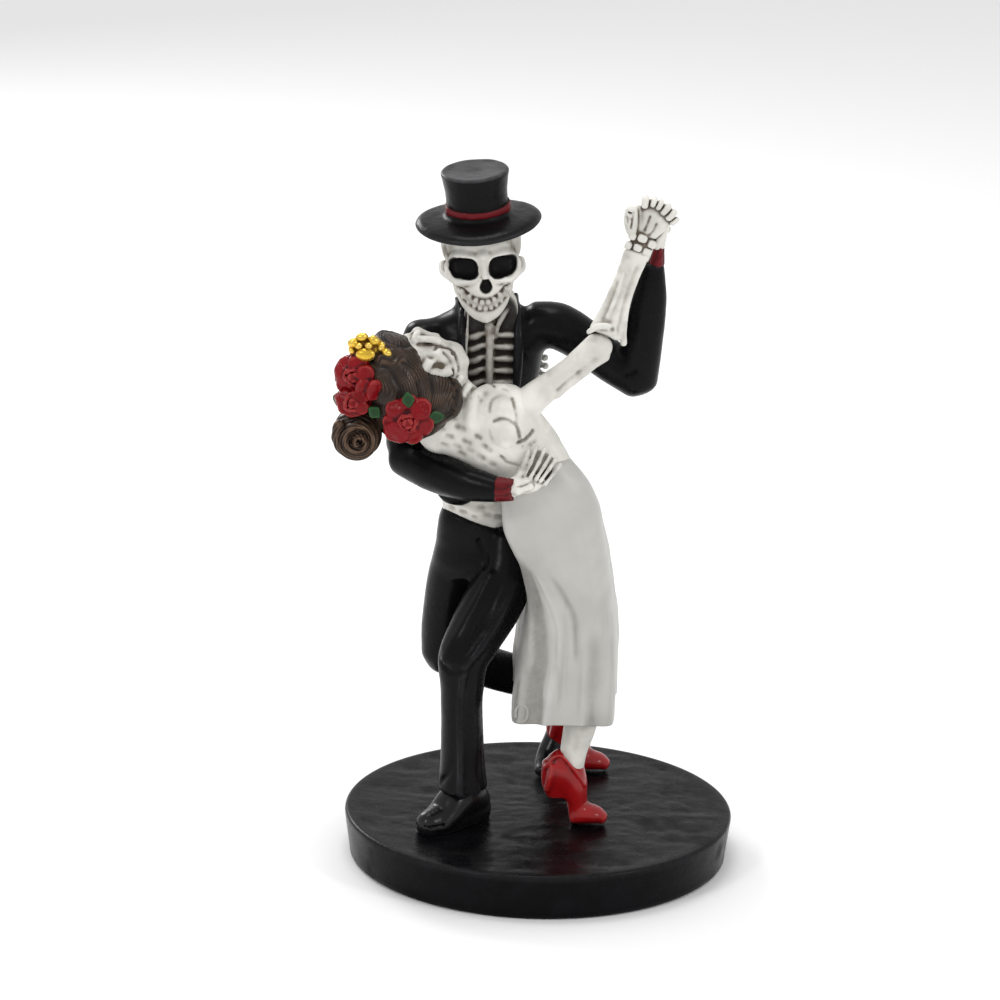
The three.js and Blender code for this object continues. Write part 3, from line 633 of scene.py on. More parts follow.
def make_plinth(top_radius, foot_radius, height):
    """Turned, drafted in to its foot, with a rounded rim and a hand-smoothed top."""
    rim = 1.0
    ring_gap = 1.1
    arc = [(top_radius - rim + rim * math.cos(a), height - rim + rim * math.sin(a))
           for a in np.linspace(0, math.pi / 2, 7)]
    corners = [(0.0, 0.0), (foot_radius - 1.0, 0.0), (foot_radius, 0.8), *arc, (0.0, height)]
    radius_height = []
    for (r0, z0), (r1, z1) in zip(corners[:-1], corners[1:]):
        steps = max(int(math.hypot(r1 - r0, z1 - z0) / ring_gap), 1)
        radius_height += [(r0 + (r1 - r0) * k / steps, z0 + (z1 - z0) * k / steps) for k in range(steps)]
    form = turned(radius_height + [(0.0, height)], 240)
    x, y, z = form.points.T
    top = ease(height - 0.4, height, z) * ease(top_radius - 1.5, top_radius - 6, np.hypot(x, y))
    side = (1 - ease(0.3, 2.0, np.abs(z - height / 2) - height / 2 + 2.3)) * (z > 0.5)
    swirl = np.stack([x + 3 * layers(form.points, 14.0, 3), y * 1.6, z], 1)
    brushed = layers(swirl, 7.5, 5, 4)
    form.points[:, 2] += top * (0.16 * brushed - 0.16)
    out = unit(np.stack([x, y, 0 * x], 1))
    form.points += out * (side * 0.10 * layers(form.points, 10.0, 8))[:, None]
    form.qualities["wash"] = ease(0.1, 0.9, -brushed) * 0.8
    # A lighter band round the top of the rim: partly wear, partly a painted highlight.
    outer = ease(top_radius - 2.2, top_radius - 0.2, np.hypot(x, y))
    form.qualities["edge"] = outer * ease(height - 1.8, height - 0.4, z)
    return shown(form, "plinth_casting", "plinth_black", "plinth")


# The groom

JACKET = [
    [-20.7, 3.2, 101.4, 9.3, 8.3], [-20.0, 3.6, 107.0, 9.6, 8.8], [-18.6, 3.8, 117.0, 10.6, 9.6],
    [-17.2, 4.0, 127.0, 11.8, 10.2], [-16.4, 4.2, 136.0, 13.4, 10.6], [-16.8, 4.0, 143.5, 15.6, 10.2],
    [-16.8, 3.6, 149.0, 19.0, 8.8], [-17.2, 3.4, 152.6, 15.0, 7.2], [-17.4, 3.2, 155.4, 8.0, 6.0],
]
COLLAR = [[-17.4, 3.6, 150.0, 9.6, 8.4], [-17.4, 3.8, 156.0, 8.6, 7.6], [-17.6, 4.4, 158.6, 8.8, 7.7]]
EMBRACING_SLEEVE = [
    [-33.2, 3.0, 146.6, 6.8, 7.2], [-35.6, 1.8, 140.0, 6.5, 7.0], [-37.5, -1.6, 129.0, 6.1, 6.4],
    [-38.2, -6.4, 119.0, 5.7, 6.0],
]
EMBRACING_FOREARM = [
    [-38.0, -8.0, 116.0, 5.6, 6.0], [-30.4, -15.6, 114.4, 5.8, 5.6], [-22.6, -21.6, 113.2, 5.0, 4.8],
    [-17.0, -24.8, 112.9, 4.1, 4.2], [-13.0, -26.6, 112.8, 3.4, 3.7],
]
RAISED_SLEEVE = [
    [-4.0, 3.4, 151.4, 5.8, 7.0], [2.2, 3.0, 150.6, 6.3, 7.2], [9.4, 2.2, 146.8, 5.9, 6.8],
    [17.3, 0.6, 141.2, 5.5, 6.2], [23.6, -1.0, 137.6, 5.2, 5.6],
]
RAISED_FOREARM = [
    [24.0, -1.2, 137.6, 5.4, 5.4], [24.9, -2.6, 148.0, 5.5, 5.0], [26.1, -4.0, 160.0, 4.9, 4.2],
    [27.1, -4.8, 170.4, 3.0, 3.2],
]


def cloth_waver(form, size, seed):
    """Soft waves of the given size and a fine tooth over them, as on cast cloth."""
    tooth = 0.03 * layers(form.points, 2.2, seed + 1, 2)
    return form.raised(0.10 * layers(form.points, size, seed, 2) + tooth)


def make_jacket():
    """Both sleeves, the body and the collar in one, open down the chest between its edges."""
    clay = Clay((-46, -33, 94), (34, 17, 174), 0.62)
    clay.skin(JACKET, (1, 0, 0.12), soft=0.3, square=2.2, dome=0.1, dome_end=0.5)
    clay.skin(COLLAR, ACROSS, soft=2.0, dome=0.0)
    clay.skin(EMBRACING_SLEEVE, ACROSS, soft=3.0)
    clay.skin(EMBRACING_FOREARM, UPRIGHT, soft=2.2)
    clay.skin(RAISED_SLEEVE, UPRIGHT, soft=1.2)
    clay.skin(RAISED_FOREARM, ACROSS, soft=2.0, dome_end=0.3)
    clay.tube([(-36, -15.6, 119.6), (-29, -20.4, 117.4), (-21, -25.0, 115.2)], [0.6, 1.1, 0.7], soft=1.6)
    clay.tube([(-33, -18.5, 113.2), (-26, -23.2, 111.6), (-19, -26.2, 110.6)], [0.5, 0.9, 0.5], soft=1.6)
    clay.tube([(-33.4, -4, 147), (-34.6, -4.4, 141), (-37, -7, 133)], [0.4, 1.0, 0.4], soft=1.8)
    for left in (-1, 1):
        edge = [(-16.4 + 7.0 * left, -1.0, 156.4), (-16.2 + 7.5 * left, -6.4, 150.0),
                (-16.2 + 7.3 * left, -7.4, 138.0), (-16.6 + 6.6 * left, -7.2, 122.0),
                (-18.6 + 4.6 * left, -5.4, 105.0 + 2.0 * left)]
        clay.tube(edge, [1.3, 1.5, 1.4, 1.2, 1.2], soft=1.2)
    clay.lump((-24.2, -7.2, 107.0), (5.8, 2.8, 4.6), soft=1.8)
    clay.lump((-16.2, -7.6, 138.0), (6.3, 4.2, 26.0), soft=0.4, cut=True, power=5.0)
    clay.lump((-17.4, -2.0, 160.0), (7.2, 8.4, 8.4), soft=0.4, cut=True, power=2.6)
    creases = [
        ([(-8.0, -3.6, 145.0), (-4.4, -4.2, 141.0), (-2.6, -3.6, 136.0)], 0.5),
        ([(-6.2, -4.6, 150.2), (-2.6, -4.8, 146.6), (-0.8, -4.0, 142.4)], 0.45),
        ([(20.4, -5.6, 139.6), (23.0, -6.2, 141.2), (26.6, -5.6, 142.2)], 0.26),
        ([(-36.0, -11.6, 121.8), (-32.4, -13.0, 121.0), (-29.6, -12.6, 119.8)], 0.6),
        ([(-28.6, -2.2, 142.0), (-27.0, -4.0, 137.0), (-28.4, -4.6, 131.0)], 0.5),
    ]
    clay.creased(creases, soft=1.0)
    form = clay.form(fine=0.9, broad=2.6)
    return shown(cloth_waver(form, 9.0, 21), "groom_jacket", "black_cloth")


EMBRACING_CUFF = [[-13.0, -26.8, 112.8, 3.4, 3.6], [-9.8, -27.4, 112.9, 2.9, 3.1]]
RAISED_CUFF = [[27.8, -4.8, 170.8, 2.3, 2.8], [28.3, -5.2, 175.0, 1.6, 2.0]]


def make_cuffs():
    """Two dark red cuffs, gathered by grooves that run along the arm; the embracing one's mouth is bowed."""
    cuffs = []
    for rows, width, bow in ((EMBRACING_CUFF, UPRIGHT, 0.11), (RAISED_CUFF, ACROSS, 0.0)):
        form = skin(rows, width, rings=24, sides=90, dome=0.25)
        middle = form.points.mean(0)
        along = unit(np.array(rows[1][:3]) - rows[0][:3])
        side = unit(np.cross(along, (0.2, 0.9, 0.3)))
        offset = form.points - middle
        angle = np.arctan2(offset @ np.cross(along, side), offset @ side)
        groove = np.sin(7 * angle + 2.5 * layers(form.points, 3.0, 4))
        form.raised(0.07 * groove + 0.14 * layers(form.points, 1.8, 6))
        x, y, z = form.points.T
        form.points[:, 0] += bow * (z - rows[0][2]) ** 2 * ease(rows[0][0] + 1.0, rows[1][0] + 0.8, x)
        form.qualities.update(wash=0.5 * ease(0.2, 1.0, -groove), edge=0.6 * ease(0.5, 1.0, groove))
        cuffs.append(form)
    return shown(cuffs[0].joined(cuffs[1]), "groom_cuffs", "dark_red")


FRONT_LEG = [
    [-10.4, 0.0, 90.0, 7.0, 8.0], [-10.9, -4.6, 81.0, 7.9, 8.2], [-14.6, -8.5, 73.5, 8.2, 8.0],
    [-18.8, -13.0, 66.5, 7.6, 7.4], [-21.5, -15.0, 60.5, 6.9, 6.8], [-21.6, -15.4, 52.0, 5.9, 6.2],
    [-21.5, -15.0, 42.0, 5.8, 6.4], [-21.1, -14.4, 32.0, 6.1, 6.8], [-21.0, -14.0, 23.6, 6.9, 8.0],
]
BACK_THIGH = [
    [-23.0, 3.0, 90.0, 6.6, 7.6], [-25.4, 5.2, 77.0, 7.0, 7.6], [-27.2, 7.6, 64.0, 6.6, 7.0],
    [-27.8, 8.8, 55.4, 6.0, 6.4],
]
BACK_SHIN = [
    [-27.4, 9.0, 54.6, 6.0, 6.0], [-19.8, 14.6, 50.2, 6.0, 6.0], [-12.0, 20.4, 45.9, 5.9, 6.0],
    [-3.6, 27.0, 41.4, 5.6, 6.0], [3.4, 32.0, 38.0, 6.0, 6.4],
]
TROUSER_SEAT = [
    [-18.9, 1.4, 96.9, 9.6, 8.0], [-19.7, 1.6, 94.2, 9.9, 8.2], [-19.0, 2.0, 90.0, 9.8, 8.2],
    [-18.6, 2.0, 84.0, 10.6, 8.8], [-18.6, 1.6, 80.0, 8.6, 7.6],
]


def make_trousers():
    """The seat and both legs, with the pressed ridge and the pulled folds of the bent front leg."""
    clay = Clay((-36, -25, 21), (12, 41, 101), 0.62)
    clay.skin(TROUSER_SEAT, ACROSS, soft=0.3, dome=0.12)
    clay.skin(BACK_THIGH, ACROSS, soft=2.4)
    clay.skin(BACK_SHIN, UPRIGHT, soft=2.4)
    clay.skin(FRONT_LEG, ACROSS, soft=1.6, dome=0.6, dome_end=0.0)
    clay.tube([(-7.4, -12.0, 82), (-11.6, -16.8, 73.5), (-16.8, -20.9, 66), (-20.8, -22.4, 60),
               (-21.6, -21.8, 50), (-21.5, -21.7, 38), (-21.2, -22.2, 24)],
              [0.5, 1.0, 1.0, 0.8, 0.5, 0.5, 0.8], soft=1.6)
    clay.tube([(-14.6, -11.4, 84), (-18.4, -14.6, 76), (-23.0, -18.2, 68), (-26.6, -18.6, 61)],
              [0.5, 1.0, 0.9, 0.4], soft=1.6)
    creases = [
        ([(-11.8, -13.4, 82), (-15.6, -17.0, 74), (-19.8, -20.2, 67)], 0.7),
        ([(-27.6, -17.2, 61), (-24.6, -21.2, 59.4), (-20.8, -22.6, 60.0)], 0.3),
        ([(-26.6, -17.4, 26), (-25.2, -20.2, 29), (-23.8, -21.2, 33)], 0.6),
        ([(-15.2, -18.6, 24), (-16.2, -19.4, 30), (-15.8, -17.6, 38)], 0.6),
        ([(-18.2, -5.6, 92), (-16.0, -7.6, 87), (-15.4, -9.0, 80)], 0.5),
    ]
    clay.creased(creases, soft=1.3)
    clay.lump((-21.0, -14.0, 21.6), (5.4, 6.2, 3.0), soft=0.3, cut=True)
    form = clay.form(fine=0.9, broad=2.6)
    return shown(cloth_waver(form, 8.0, 31), "groom_trousers", "black_cloth")


FRONT_SHOE = [
    [-17.4, -8.6, 17.4, 4.4, 4.6], [-19.4, -11.4, 19.0, 5.0, 6.2], [-22.4, -15.2, 19.2, 5.2, 6.0],
    [-25.8, -18.8, 16.8, 5.3, 4.2], [-28.6, -21.4, 15.4, 4.9, 2.9], [-30.6, -23.2, 14.8, 3.4, 2.0],
]
BACK_SHOE = [
    [5.6, 34.6, 37.0, 3.9, 4.4], [5.8, 35.0, 30.0, 3.5, 4.8], [5.2, 33.4, 23.0, 3.6, 4.2],
    [3.2, 30.4, 17.6, 3.9, 3.6], [2.0, 26.4, 15.4, 3.5, 2.6], [1.6, 23.4, 14.8, 2.9, 1.8],
]


def make_black_shoes(floor):
    """Laced shoes: the upper over a welt and a flat sole; the back one is up on its toe."""
    front = Clay((-36, -28, floor - 1), (-11, -3, 27), 0.38)
    front.skin(FRONT_SHOE, (0.75, -0.66, 0), soft=0.4)
    sole = [(-17.6, -8.8, 13.9), (-22.0, -14.6, 13.9), (-26.0, -18.8, 13.9), (-29.6, -22.4, 13.9)]
    front.tube(sole, [4.2, 4.3, 4.6, 3.4], soft=0.3)
    front.tube([(p[0], p[1], 15.2) for p in sole], [4.6, 4.7, 5.1, 3.9], soft=0.2)
    front.cut_below(floor)
    lift = [(-30.9, -18.4, 15.9), (-32.9, -23.4, 15.7), (-28.6, -26.0, 15.7), (-23.8, -23.2, 16.0)]
    front.tube(lift, 0.35, soft=0.3, cut=True)
    for step in range(4):
        x, y, z = -22.6 - 1.2 * step, -17.6 - 1.3 * step, 22.4 - 1.25 * step
        front.tube([(x - 1.9, y + 1.6, z - 0.6), (x, y, z), (x + 1.9, y - 1.4, z - 0.8)], 0.42, soft=0.25)
    back = Clay((-4, 18, floor - 1), (12, 42, 40), 0.46)
    back.skin(BACK_SHOE, ACROSS, soft=0.4)
    back.tube([(5.0, 36.6, 29.0), (5.4, 39.4, 26.6)], [3.0, 2.4], soft=0.8)
    back.cut_below(floor)
    form = front.form(relax=1).joined(back.form(relax=1))
    return shown(form, "groom_shoes", "black_leather")


HAT_PLACE = (-20.3, -2.0, 182.2)


def hat_axes(lean=-5.0, nod=7.0):
    """The hat's own directions as rows: turned about X by nod, then about Y by lean, in degrees."""
    turn = Matrix.Rotation(math.radians(lean), 3, "Y") @ Matrix.Rotation(math.radians(nod), 3, "X")
    return np.array(turn.transposed())


def make_hat(brim_radius, crown_height):
    """A turned top hat with a rolled brim; the flared crown dips a little at its top."""
    foot, top = 8.2, 9.4
    corners = [
        (0.0, -1.0), (foot, -1.2), (brim_radius * 0.72, -1.5), (brim_radius * 0.9, -2.1),
        (brim_radius - 0.5, -2.7), (brim_radius, -2.5), (brim_radius + 0.05, -1.9), (brim_radius - 0.5, -1.1),
        (brim_radius * 0.9, -0.5), (brim_radius * 0.78, -0.2), (brim_radius * 0.64, 0.1), (foot + 0.6, 0.5),
        (foot + 0.1, 1.4), (foot + 0.05, 3.4), (foot + 0.25, crown_height * 0.55),
        (top - 0.3, crown_height - 1.3), (top, crown_height - 0.5), (top - 0.5, crown_height),
        (top - 1.2, crown_height - 0.15), (top - 2.6, crown_height - 0.3), (0.0, crown_height - 0.5),
    ]
    form = turned(eased_profile(corners, 115), 180, wobble=0.14, seed=41)
    x, y, z = form.points.T
    radius = np.hypot(x, y)
    curl = 0.5 * ease(foot + 2, brim_radius, radius) * ease(crown_height, 2.0, z)
    form.points[:, 2] += curl * np.cos(2 * np.arctan2(y, x))
    form.roughened(0.05, 3.0, 43)
    dab = layers(form.points, 4.0, 44)
    form.qualities["wash"] = ease(3.4, 0.6, np.abs(radius - foot) + np.abs(z - 2.0)) * 0.5
    # The crown's top and the brim's rim are lighter: a painted reflection on the top and a painted highlight
    # along the rim.
    form.qualities["edge"] = np.clip(
        ease(brim_radius - 1.0, brim_radius - 0.1, radius) * 0.25
        + ease(crown_height - 0.9, crown_height - 0.5, z) * (0.8 + 0.4 * dab), 0, 1)
    return shown(form.placed(hat_axes(), HAT_PLACE), "groom_hat", "black_felt")


def make_hat_band():
    """A dark red ribbon round the crown's foot, thick and tall at a flat knot on each side.

    Its section is an oval, radius + r*cos and height + h*sign(sin)*|sin|^0.6, carried round the crown.
    """
    count, sides = 200, 28
    around = 2 * np.pi * np.arange(count)[:, None] / count
    across = 2 * np.pi * np.arange(sides) / sides
    knot = sum(np.exp(-((np.angle(np.exp(1j * (around - a)))) / 0.16) ** 2) for a in (-0.35, math.pi + 0.45))
    radius = 8.3 + 0.15 * np.cos(3 * around) + (0.55 + 0.4 * knot) * np.cos(across)
    half_height = 0.85 * (1.15 + 0.35 * knot)
    height = 2.5 + half_height * np.sign(np.sin(across)) * np.abs(np.sin(across)) ** 0.6
    height = height + 0.18 * np.sin(2 * around + 0.6)
    rings = np.stack([radius * np.cos(around), radius * np.sin(around), height], -1)
    numbers = np.pad(np.arange(count * sides).reshape(count, sides), ((0, 1), (0, 1)), mode="wrap")
    form = Form(rings.reshape(-1, 3), faces_between(numbers.T))
    form.roughened(0.07, 1.6, 51)
    form.qualities["wash"] = ease(0.1, 0.9, np.abs(np.sin(across))[None, :] ** 3 + 0 * radius).reshape(-1)
    form.qualities["edge"] = ease(0.3, 1.0, np.cos(across)[None, :] + 0 * radius).reshape(-1) * 0.5
    return shown(form.placed(hat_axes(), HAT_PLACE), "groom_hat_band", "dark_red")


SOCKET = (5.3, -0.55)
SOCKET_PAINT = (3.72, 2.98)
SOCKET_POWER = 2.9
NOSE = (0.45, -5.5)


def smile_at(x, lift=0.0, out=0.0):
    """A place on the groom's line of teeth, where Y and Z follow parabolas of X."""
    return x, -10.7 + 0.085 * x * x + lift, 10.4 - 0.13 * x * x + out


def skull_clay():
    """A grinning skull in its own axes: X across, Y up, Z out of the face, the middle at the origin.

    The brain case, cheek arches, brow and jaw are merged; sockets, nose and mouth band are cut; then
    the two rows of teeth are set in the band along one upturned curve.
    """
    clay = Clay((-13, -17.5, -15), (13, 17, 15), 0.3)
    clay.lump((0, 4.6, -1.6), (10.9, 10.6, 12.2))
    clay.lump((0, -2.4, 3.0), (7.8, 6.2, 6.8), soft=3.0)
    clay.lump((0, -7.6, 4.4), (5.6, 5.0, 5.2), soft=2.0)
    for side in (-1, 1):
        clay.lump((7.0 * side, -4.4, 6.4), (1.9, 1.6, 2.4), soft=1.4)
        arch = [(8.2 * side, -3.7, 6.4), (10.7 * side, -2.9, 2.4), (10.5 * side, -1.9, -2.6)]
        clay.tube(arch, [1.0, 0.85, 1.2], soft=0.8)
        rim = [(SOCKET[0] * side + 4.3 * math.cos(a), SOCKET[1] + 3.6 * math.sin(a),
                10.3 - 0.068 * (abs(SOCKET[0] + 4.3 * side * math.cos(a)) ** 1.9) + 0.5 * math.sin(a))
               for a in np.linspace(0, 2 * np.pi, 25)]
        clay.tube(rim, 0.8, soft=1.2, smooth=False)
        jaw = [(7.0 * side, -4.6, 0.2), (6.3 * side, -8.4, 2.4), (4.4 * side, -11.4, 6.2),
               (2.2 * side, -13.2, 8.6), (0, -13.7, 9.4)]
        clay.tube(jaw, [1.4, 1.5, 1.5, 1.6, 1.7], soft=1.0)
    clay.lump((0, -11.0, 5.6), (4.4, 3.2, 4.0), soft=1.4)
    clay.tube([(0, 2.6, 10.6), (0.1, 0.2, 11.0), (0.4, -2.6, 11.6)], [1.4, 0.9, 0.8], soft=1.2)
    for side in (-1, 1):
        lean = [(1, -0.10 * side, 0), (0.10 * side, 1, 0), (0, 0, 1)]
        clay.lump((SOCKET[0] * side, SOCKET[1], 10.6), (3.8, 3.05, 4.8), soft=0.4, cut=True,
                  power=SOCKET_POWER, axes=lean)
        clay.lump((12.4 * side, 3.8, 6.0), (2.3, 3.4, 3.6), soft=2.0, cut=True)
        clay.lump((8.6 * side, -8.6, 6.6), (2.4, 3.2, 3.6), soft=1.4, cut=True)
        clay.lump((1.9 * side, -0.4, 12.2), (0.8, 1.9, 1.3), soft=0.8, cut=True)
        clay.tube([(3.0 * side, -4.4, 10.6), (5.2 * side, -5.9, 9.6), (6.8 * side, -6.6, 7.6)],
                  [0.3, 0.5, 0.4], soft=0.9, cut=True)
    nose = [(NOSE[0], NOSE[1] + 1.5, 11.8), (NOSE[0], NOSE[1] - 0.5, 12.2)]
    for depth in (0.0, -1.2, -2.4):
        clay.tube([(x, y, z + depth) for x, y, z in nose], [0.75, 1.85], soft=0.3, cut=True)
    mouth = np.linspace(-6.2, 6.2, 19)
    clay.tube([smile_at(x, out=0.7) for x in mouth], 1.35, soft=0.6, cut=True, smooth=False)
    clay.tube([smile_at(x, out=-0.9) for x in mouth], 1.0, soft=0.3, smooth=False)
    for teeth, lift in ((8, 0.82), (9, -0.82)):
        for x in np.linspace(-5.6, 5.6, teeth):
            clay.lump(smile_at(x, lift, -0.25), (0.66, 0.68, 0.8), soft=0.2, power=3.0)
    return clay.lump((0, 19.6, 0), (16, 8.6, 18), soft=0.6, cut=True, power=6.0)


def skull_form():
    """The skull's surface: black sockets and nose, and a grey wash on bridge, temples and mouth."""
    form = skull_clay().form(fine=0.55, broad=1.8, relax=1).blended("wash", 1, 0.85)
    x, y, z = form.points.T
    deep = np.zeros(len(x))
    for side in (-1, 1):
        beside = x - SOCKET[0] * side
        above = y - SOCKET[1] - 0.1 * side * beside
        rise = (np.abs(beside / SOCKET_PAINT[0]) ** SOCKET_POWER
                + np.abs(above / SOCKET_PAINT[1]) ** SOCKET_POWER) ** (1 / SOCKET_POWER)
        deep = np.maximum(deep, ease(1.10, 1.0, rise + 0.05 * noise(form.points, 1.0, 3)) * (z > 4))
    across = x - NOSE[0]
    hole = np.hypot(across / (1.85 - 0.5 * ease(-0.8, 1.8, y - NOSE[1])), (y - NOSE[1] - 0.15) / 2.4)
    form.qualities["deep"] = np.maximum(deep, ease(1.05, 0.9, hole) * (z > 6))
    bridge = ease(2.4, 0.6, np.abs(x)) * ease(-3.6, -1.6, y) * ease(3.2, 1.4, y) * (z > 6)
    temple = ease(6.4, 8.6, np.abs(x)) * ease(-1.0, 2.0, y) * ease(8.0, 4.0, y) * 0.5 * ease(-2.0, 4.0, z)
    mouth = ease(2.4, 1.0, np.abs(y - smile_at(x)[1])) * ease(7.0, 5.5, np.abs(x)) * (z > 4)
    smudge = 0.35 * ease(0.25, 0.8, layers(form.points, 3.4, 62)) * ease(-4, 4, z) + 0.3 * bridge + temple
    form.washed(smudge + 0.28 * mouth + 0.12 * ease(-3.0, -8.0, y))
    return form.roughened(0.05, 2.6, 61)


def skull_axes(tilt, yaw):
    """Rows across, up and out of the face for a head tilted to its side and turned, in degrees."""
    tilt, yaw = math.radians(tilt), math.radians(yaw)
    across = np.array((math.cos(tilt), 0.0, math.sin(tilt)))
    up = np.array((-math.sin(tilt), 0.0, math.cos(tilt)))
    out = np.array((0.0, -1.0, 0.0))
    turned_across = across * math.cos(yaw) - out * math.sin(yaw)
    turned_out = out * math.cos(yaw) + across * math.sin(yaw)
    return np.array([turned_across, up, turned_out])


def make_groom_skull():
    """The groom's skull, leaning a little to -X and set on his neck."""
    form = skull_form().placed(skull_axes(tilt=4.0, yaw=3.5), (-19.0, -1.2, 170.1))
    return shown(form, "groom_skull")


def make_chest():
    """Breastbone, ribs that drop outwards, one collar bone, a pale edge on the left lapel, and the neck."""
    clay = Clay((-25.5, -11, 103), (-7, 4, 160.5), 0.38)
    middle = -16.1
    clay.lump((middle, 0.4, 134.0), (7.6, 6.6, 27.0), power=6.0)
    clay.tube([(-16.4, -6.6, 152.4), (-16.3, -7.0, 148), (-16.2, -7.4, 138), (-16.1, -7.2, 122)],
              [1.4, 1.1, 1.0, 0.8], soft=0.5)
    top_rib, rib_gap = 150.4, 3.3
    for row in range(9):
        height = top_rib - rib_gap * row
        for side, drop, rise in ((-1, 1.5, 0.2), (1, 0.3, -0.2)):
            rib = [(middle, -6.9, height), (middle + 2.0 * side, -6.8, height + rise),
                   (middle + 4.2 * side, -6.4, height - drop * 0.6),
                   (middle + 6.4 * side, -5.6, height - drop)]
            clay.tube(rib, [0.6, 0.75, 1.0, 1.15], soft=0.3)
    clay.tube([(middle + 1.4, -7.0, 149.6), (middle + 2.0, -7.2, 153.0), (middle + 4.4, -5.6, 157.4)],
              [0.6, 0.7, 0.9], soft=0.3)
    clay.tube([(middle - 6.1, -6.4, 157.0), (middle - 6.4, -7.8, 148.0), (middle - 6.4, -8.2, 138.0),
               (middle - 6.1, -7.8, 124.0)], 0.42, soft=0.2)
    clay.tube([(-17.4, -2.0, 151), (-17.6, -1.4, 156), (-17.8, -0.6, 160)], [3.2, 2.9, 3.0], soft=0.8)
    form = clay.form(fine=0.7, broad=2.0, relax=1)
    x, y, z = form.points.T
    dab = layers(form.points, 1.7, 72)
    form.roughened(0.12, 1.8, 71)
    # Painted shade: darker on the undersides of the ribs, which face down.
    below = ease(0.2, -0.6, form.normals()[:, 2]) * ease(0.8, 1.6, np.abs(x - middle))
    # Painted shade: the plate behind the ribs goes near-black, as the shade between them.
    shade_behind_ribs = ease(-6.9, -6.2, y) * ease(0.6, 1.6, np.abs(x - middle))
    # The whole chest is darker: partly wash, partly painted shade from the jacket round it.
    form.washed(0.74 + 0.16 * dab + 0.5 * below, share=0.3)
    neck = ease(-5.0, -3.0, y) * ease(151.0, 153.0, z)
    form.qualities["wash"] *= 1 - 0.7 * neck
    form.qualities["deep"] = np.clip(shade_behind_ribs + 0.5 * below, 0, 0.93) * (1 - neck)
    return shown(form.blended("deep", 1), "groom_chest")


def make_pelvis():
    """The strip of hip bone between the jacket and the trousers, with shallow pits."""
    clay = Clay((-31, -9, 89), (-6, 12, 105), 0.4)
    waist = [[-19.2, 1.8, 91.0, 8.6, 6.4], [-19.0, 1.6, 97.5, 9.3, 7.1], [-19.6, 1.8, 104.0, 9.4, 7.4]]
    clay.skin(waist, ACROSS)
    for x, z, size in ((-25.8, 100.8, 0.5), (-22.4, 100.2, 0.6), (-19.2, 99.0, 0.45), (-15.4, 99.4, 0.7),
                       (-17.4, 101.8, 0.6), (-12.6, 98.6, 0.8)):
        clay.engraved([(x - size, z), (x + size, z - 0.2)], size, 0.45, soft=0.6)
    clay.beaded([(-26.6, 102.6), (-22.0, 101.4), (-18.0, 99.6)], 0.9, 0.3, soft=1.0)
    clay.engraved([(-16.4, 103.2), (-14.6, 101.6), (-13.0, 103.0)], 0.5, 0.35, soft=0.6)
    return shown(clay.form().blended("wash", 3, 0.6).roughened(0.14, 3.2, 81), "groom_pelvis")


def fingers(clay, chains, thick, soft=0.12):
    """Finger bones: each chain's lengths swell at their ends, with a thin gap left at every joint."""
    gap = 0.12
    for chain in chains:
        chain = np.asarray(chain, float)
        for a, b in zip(chain[:-1], chain[1:]):
            along = unit(b - a)
            start, end = a + along * gap, b - along * gap
            clay.tube([start, (2 * start + end) / 3, (start + 2 * end) / 3, end],
                      [thick * 1.08, thick * 0.86, thick * 0.84, thick * 1.06], soft=soft)


def make_embracing_hand():
    """The groom's right hand, laid on the bride's side, its fingers pointing up over a dark sheet of painted
    shade.
    """
    clay = Clay((-15, -31, 107), (7, -18, 128), 0.22)
    clay.tube([(-12.6, -26.4, 112.6), (-9.4, -26.2, 113.0), (-6.2, -25.2, 114.6)], [2.4, 2.5, 2.0], soft=0.5)
    clay.tube([(-8.0, -24.8, 114.0), (-4.4, -24.4, 115.2), (-1.8, -24.0, 114.6)], [2.0, 1.9, 1.4], soft=1.0)
    chains = [
        [(-6.4, -26.0, 115.6), (-4.4, -25.6, 120.0), (-2.8, -24.0, 124.2)],
        [(-4.4, -26.2, 116.0), (-2.2, -25.6, 120.2), (-0.6, -24.0, 123.8)],
        [(-2.8, -26.2, 115.8), (-0.6, -25.4, 119.4), (1.4, -23.9, 122.8)],
        [(-1.6, -26.0, 115.2), (0.6, -25.2, 118.4), (2.4, -23.8, 121.0)],
        [(-0.4, -25.6, 114.2), (1.8, -24.8, 117.0), (3.6, -23.6, 119.2)],
    ]
    fingers(clay, chains, 0.55)
    clay.lump((-5.6, -25.0, 113.8), (4.2, 1.8, 2.4), soft=1.0)
    clay.tube([(-8.0, -25.6, 115.0), (-6.2, -25.4, 119.2), (-5.0, -24.0, 122.8)], [1.1, 0.9, 0.5], soft=0.6)
    fingers(clay, [[(-11.0, -28.2, 113.6), (-7.6, -28.2, 112.8), (-4.2, -27.0, 113.8)]], 0.9, soft=0.4)
    form = clay.form(fine=0.5, broad=1.4, relax=1)
    form.washed(0.35 * ease(115.0, 118.0, form.points[:, 2]) + 0.25 * layers(form.points, 1.4, 92))
    form.qualities["deep"] = np.zeros(len(form.points))
    # A dark sheet behind the fingers stands for the shade between them: painted shade, near-black at its
    # foot.
    rows = [[-5.4, -23.2, 115.0, 1.6, 2.2], [-2.6, -23.2, 117.6, 1.7, 3.9], [-0.6, -22.6, 121.4, 1.2, 2.6]]
    hollow = skin(rows, AWAY, rings=40, sides=48, dome=0.6)
    hollow.roughened(0.12, 1.6, 93)
    foot = ease(118.6, 116.0, hollow.points[:, 2] - 0.5 * hollow.points[:, 0] - 1.0)
    hollow.qualities.update(wash=0.72 + 0.28 * foot, deep=0.8 * foot)
    form = form.roughened(0.04, 1.8, 91).joined(hollow)
    return shown(form, "groom_embracing_hand")


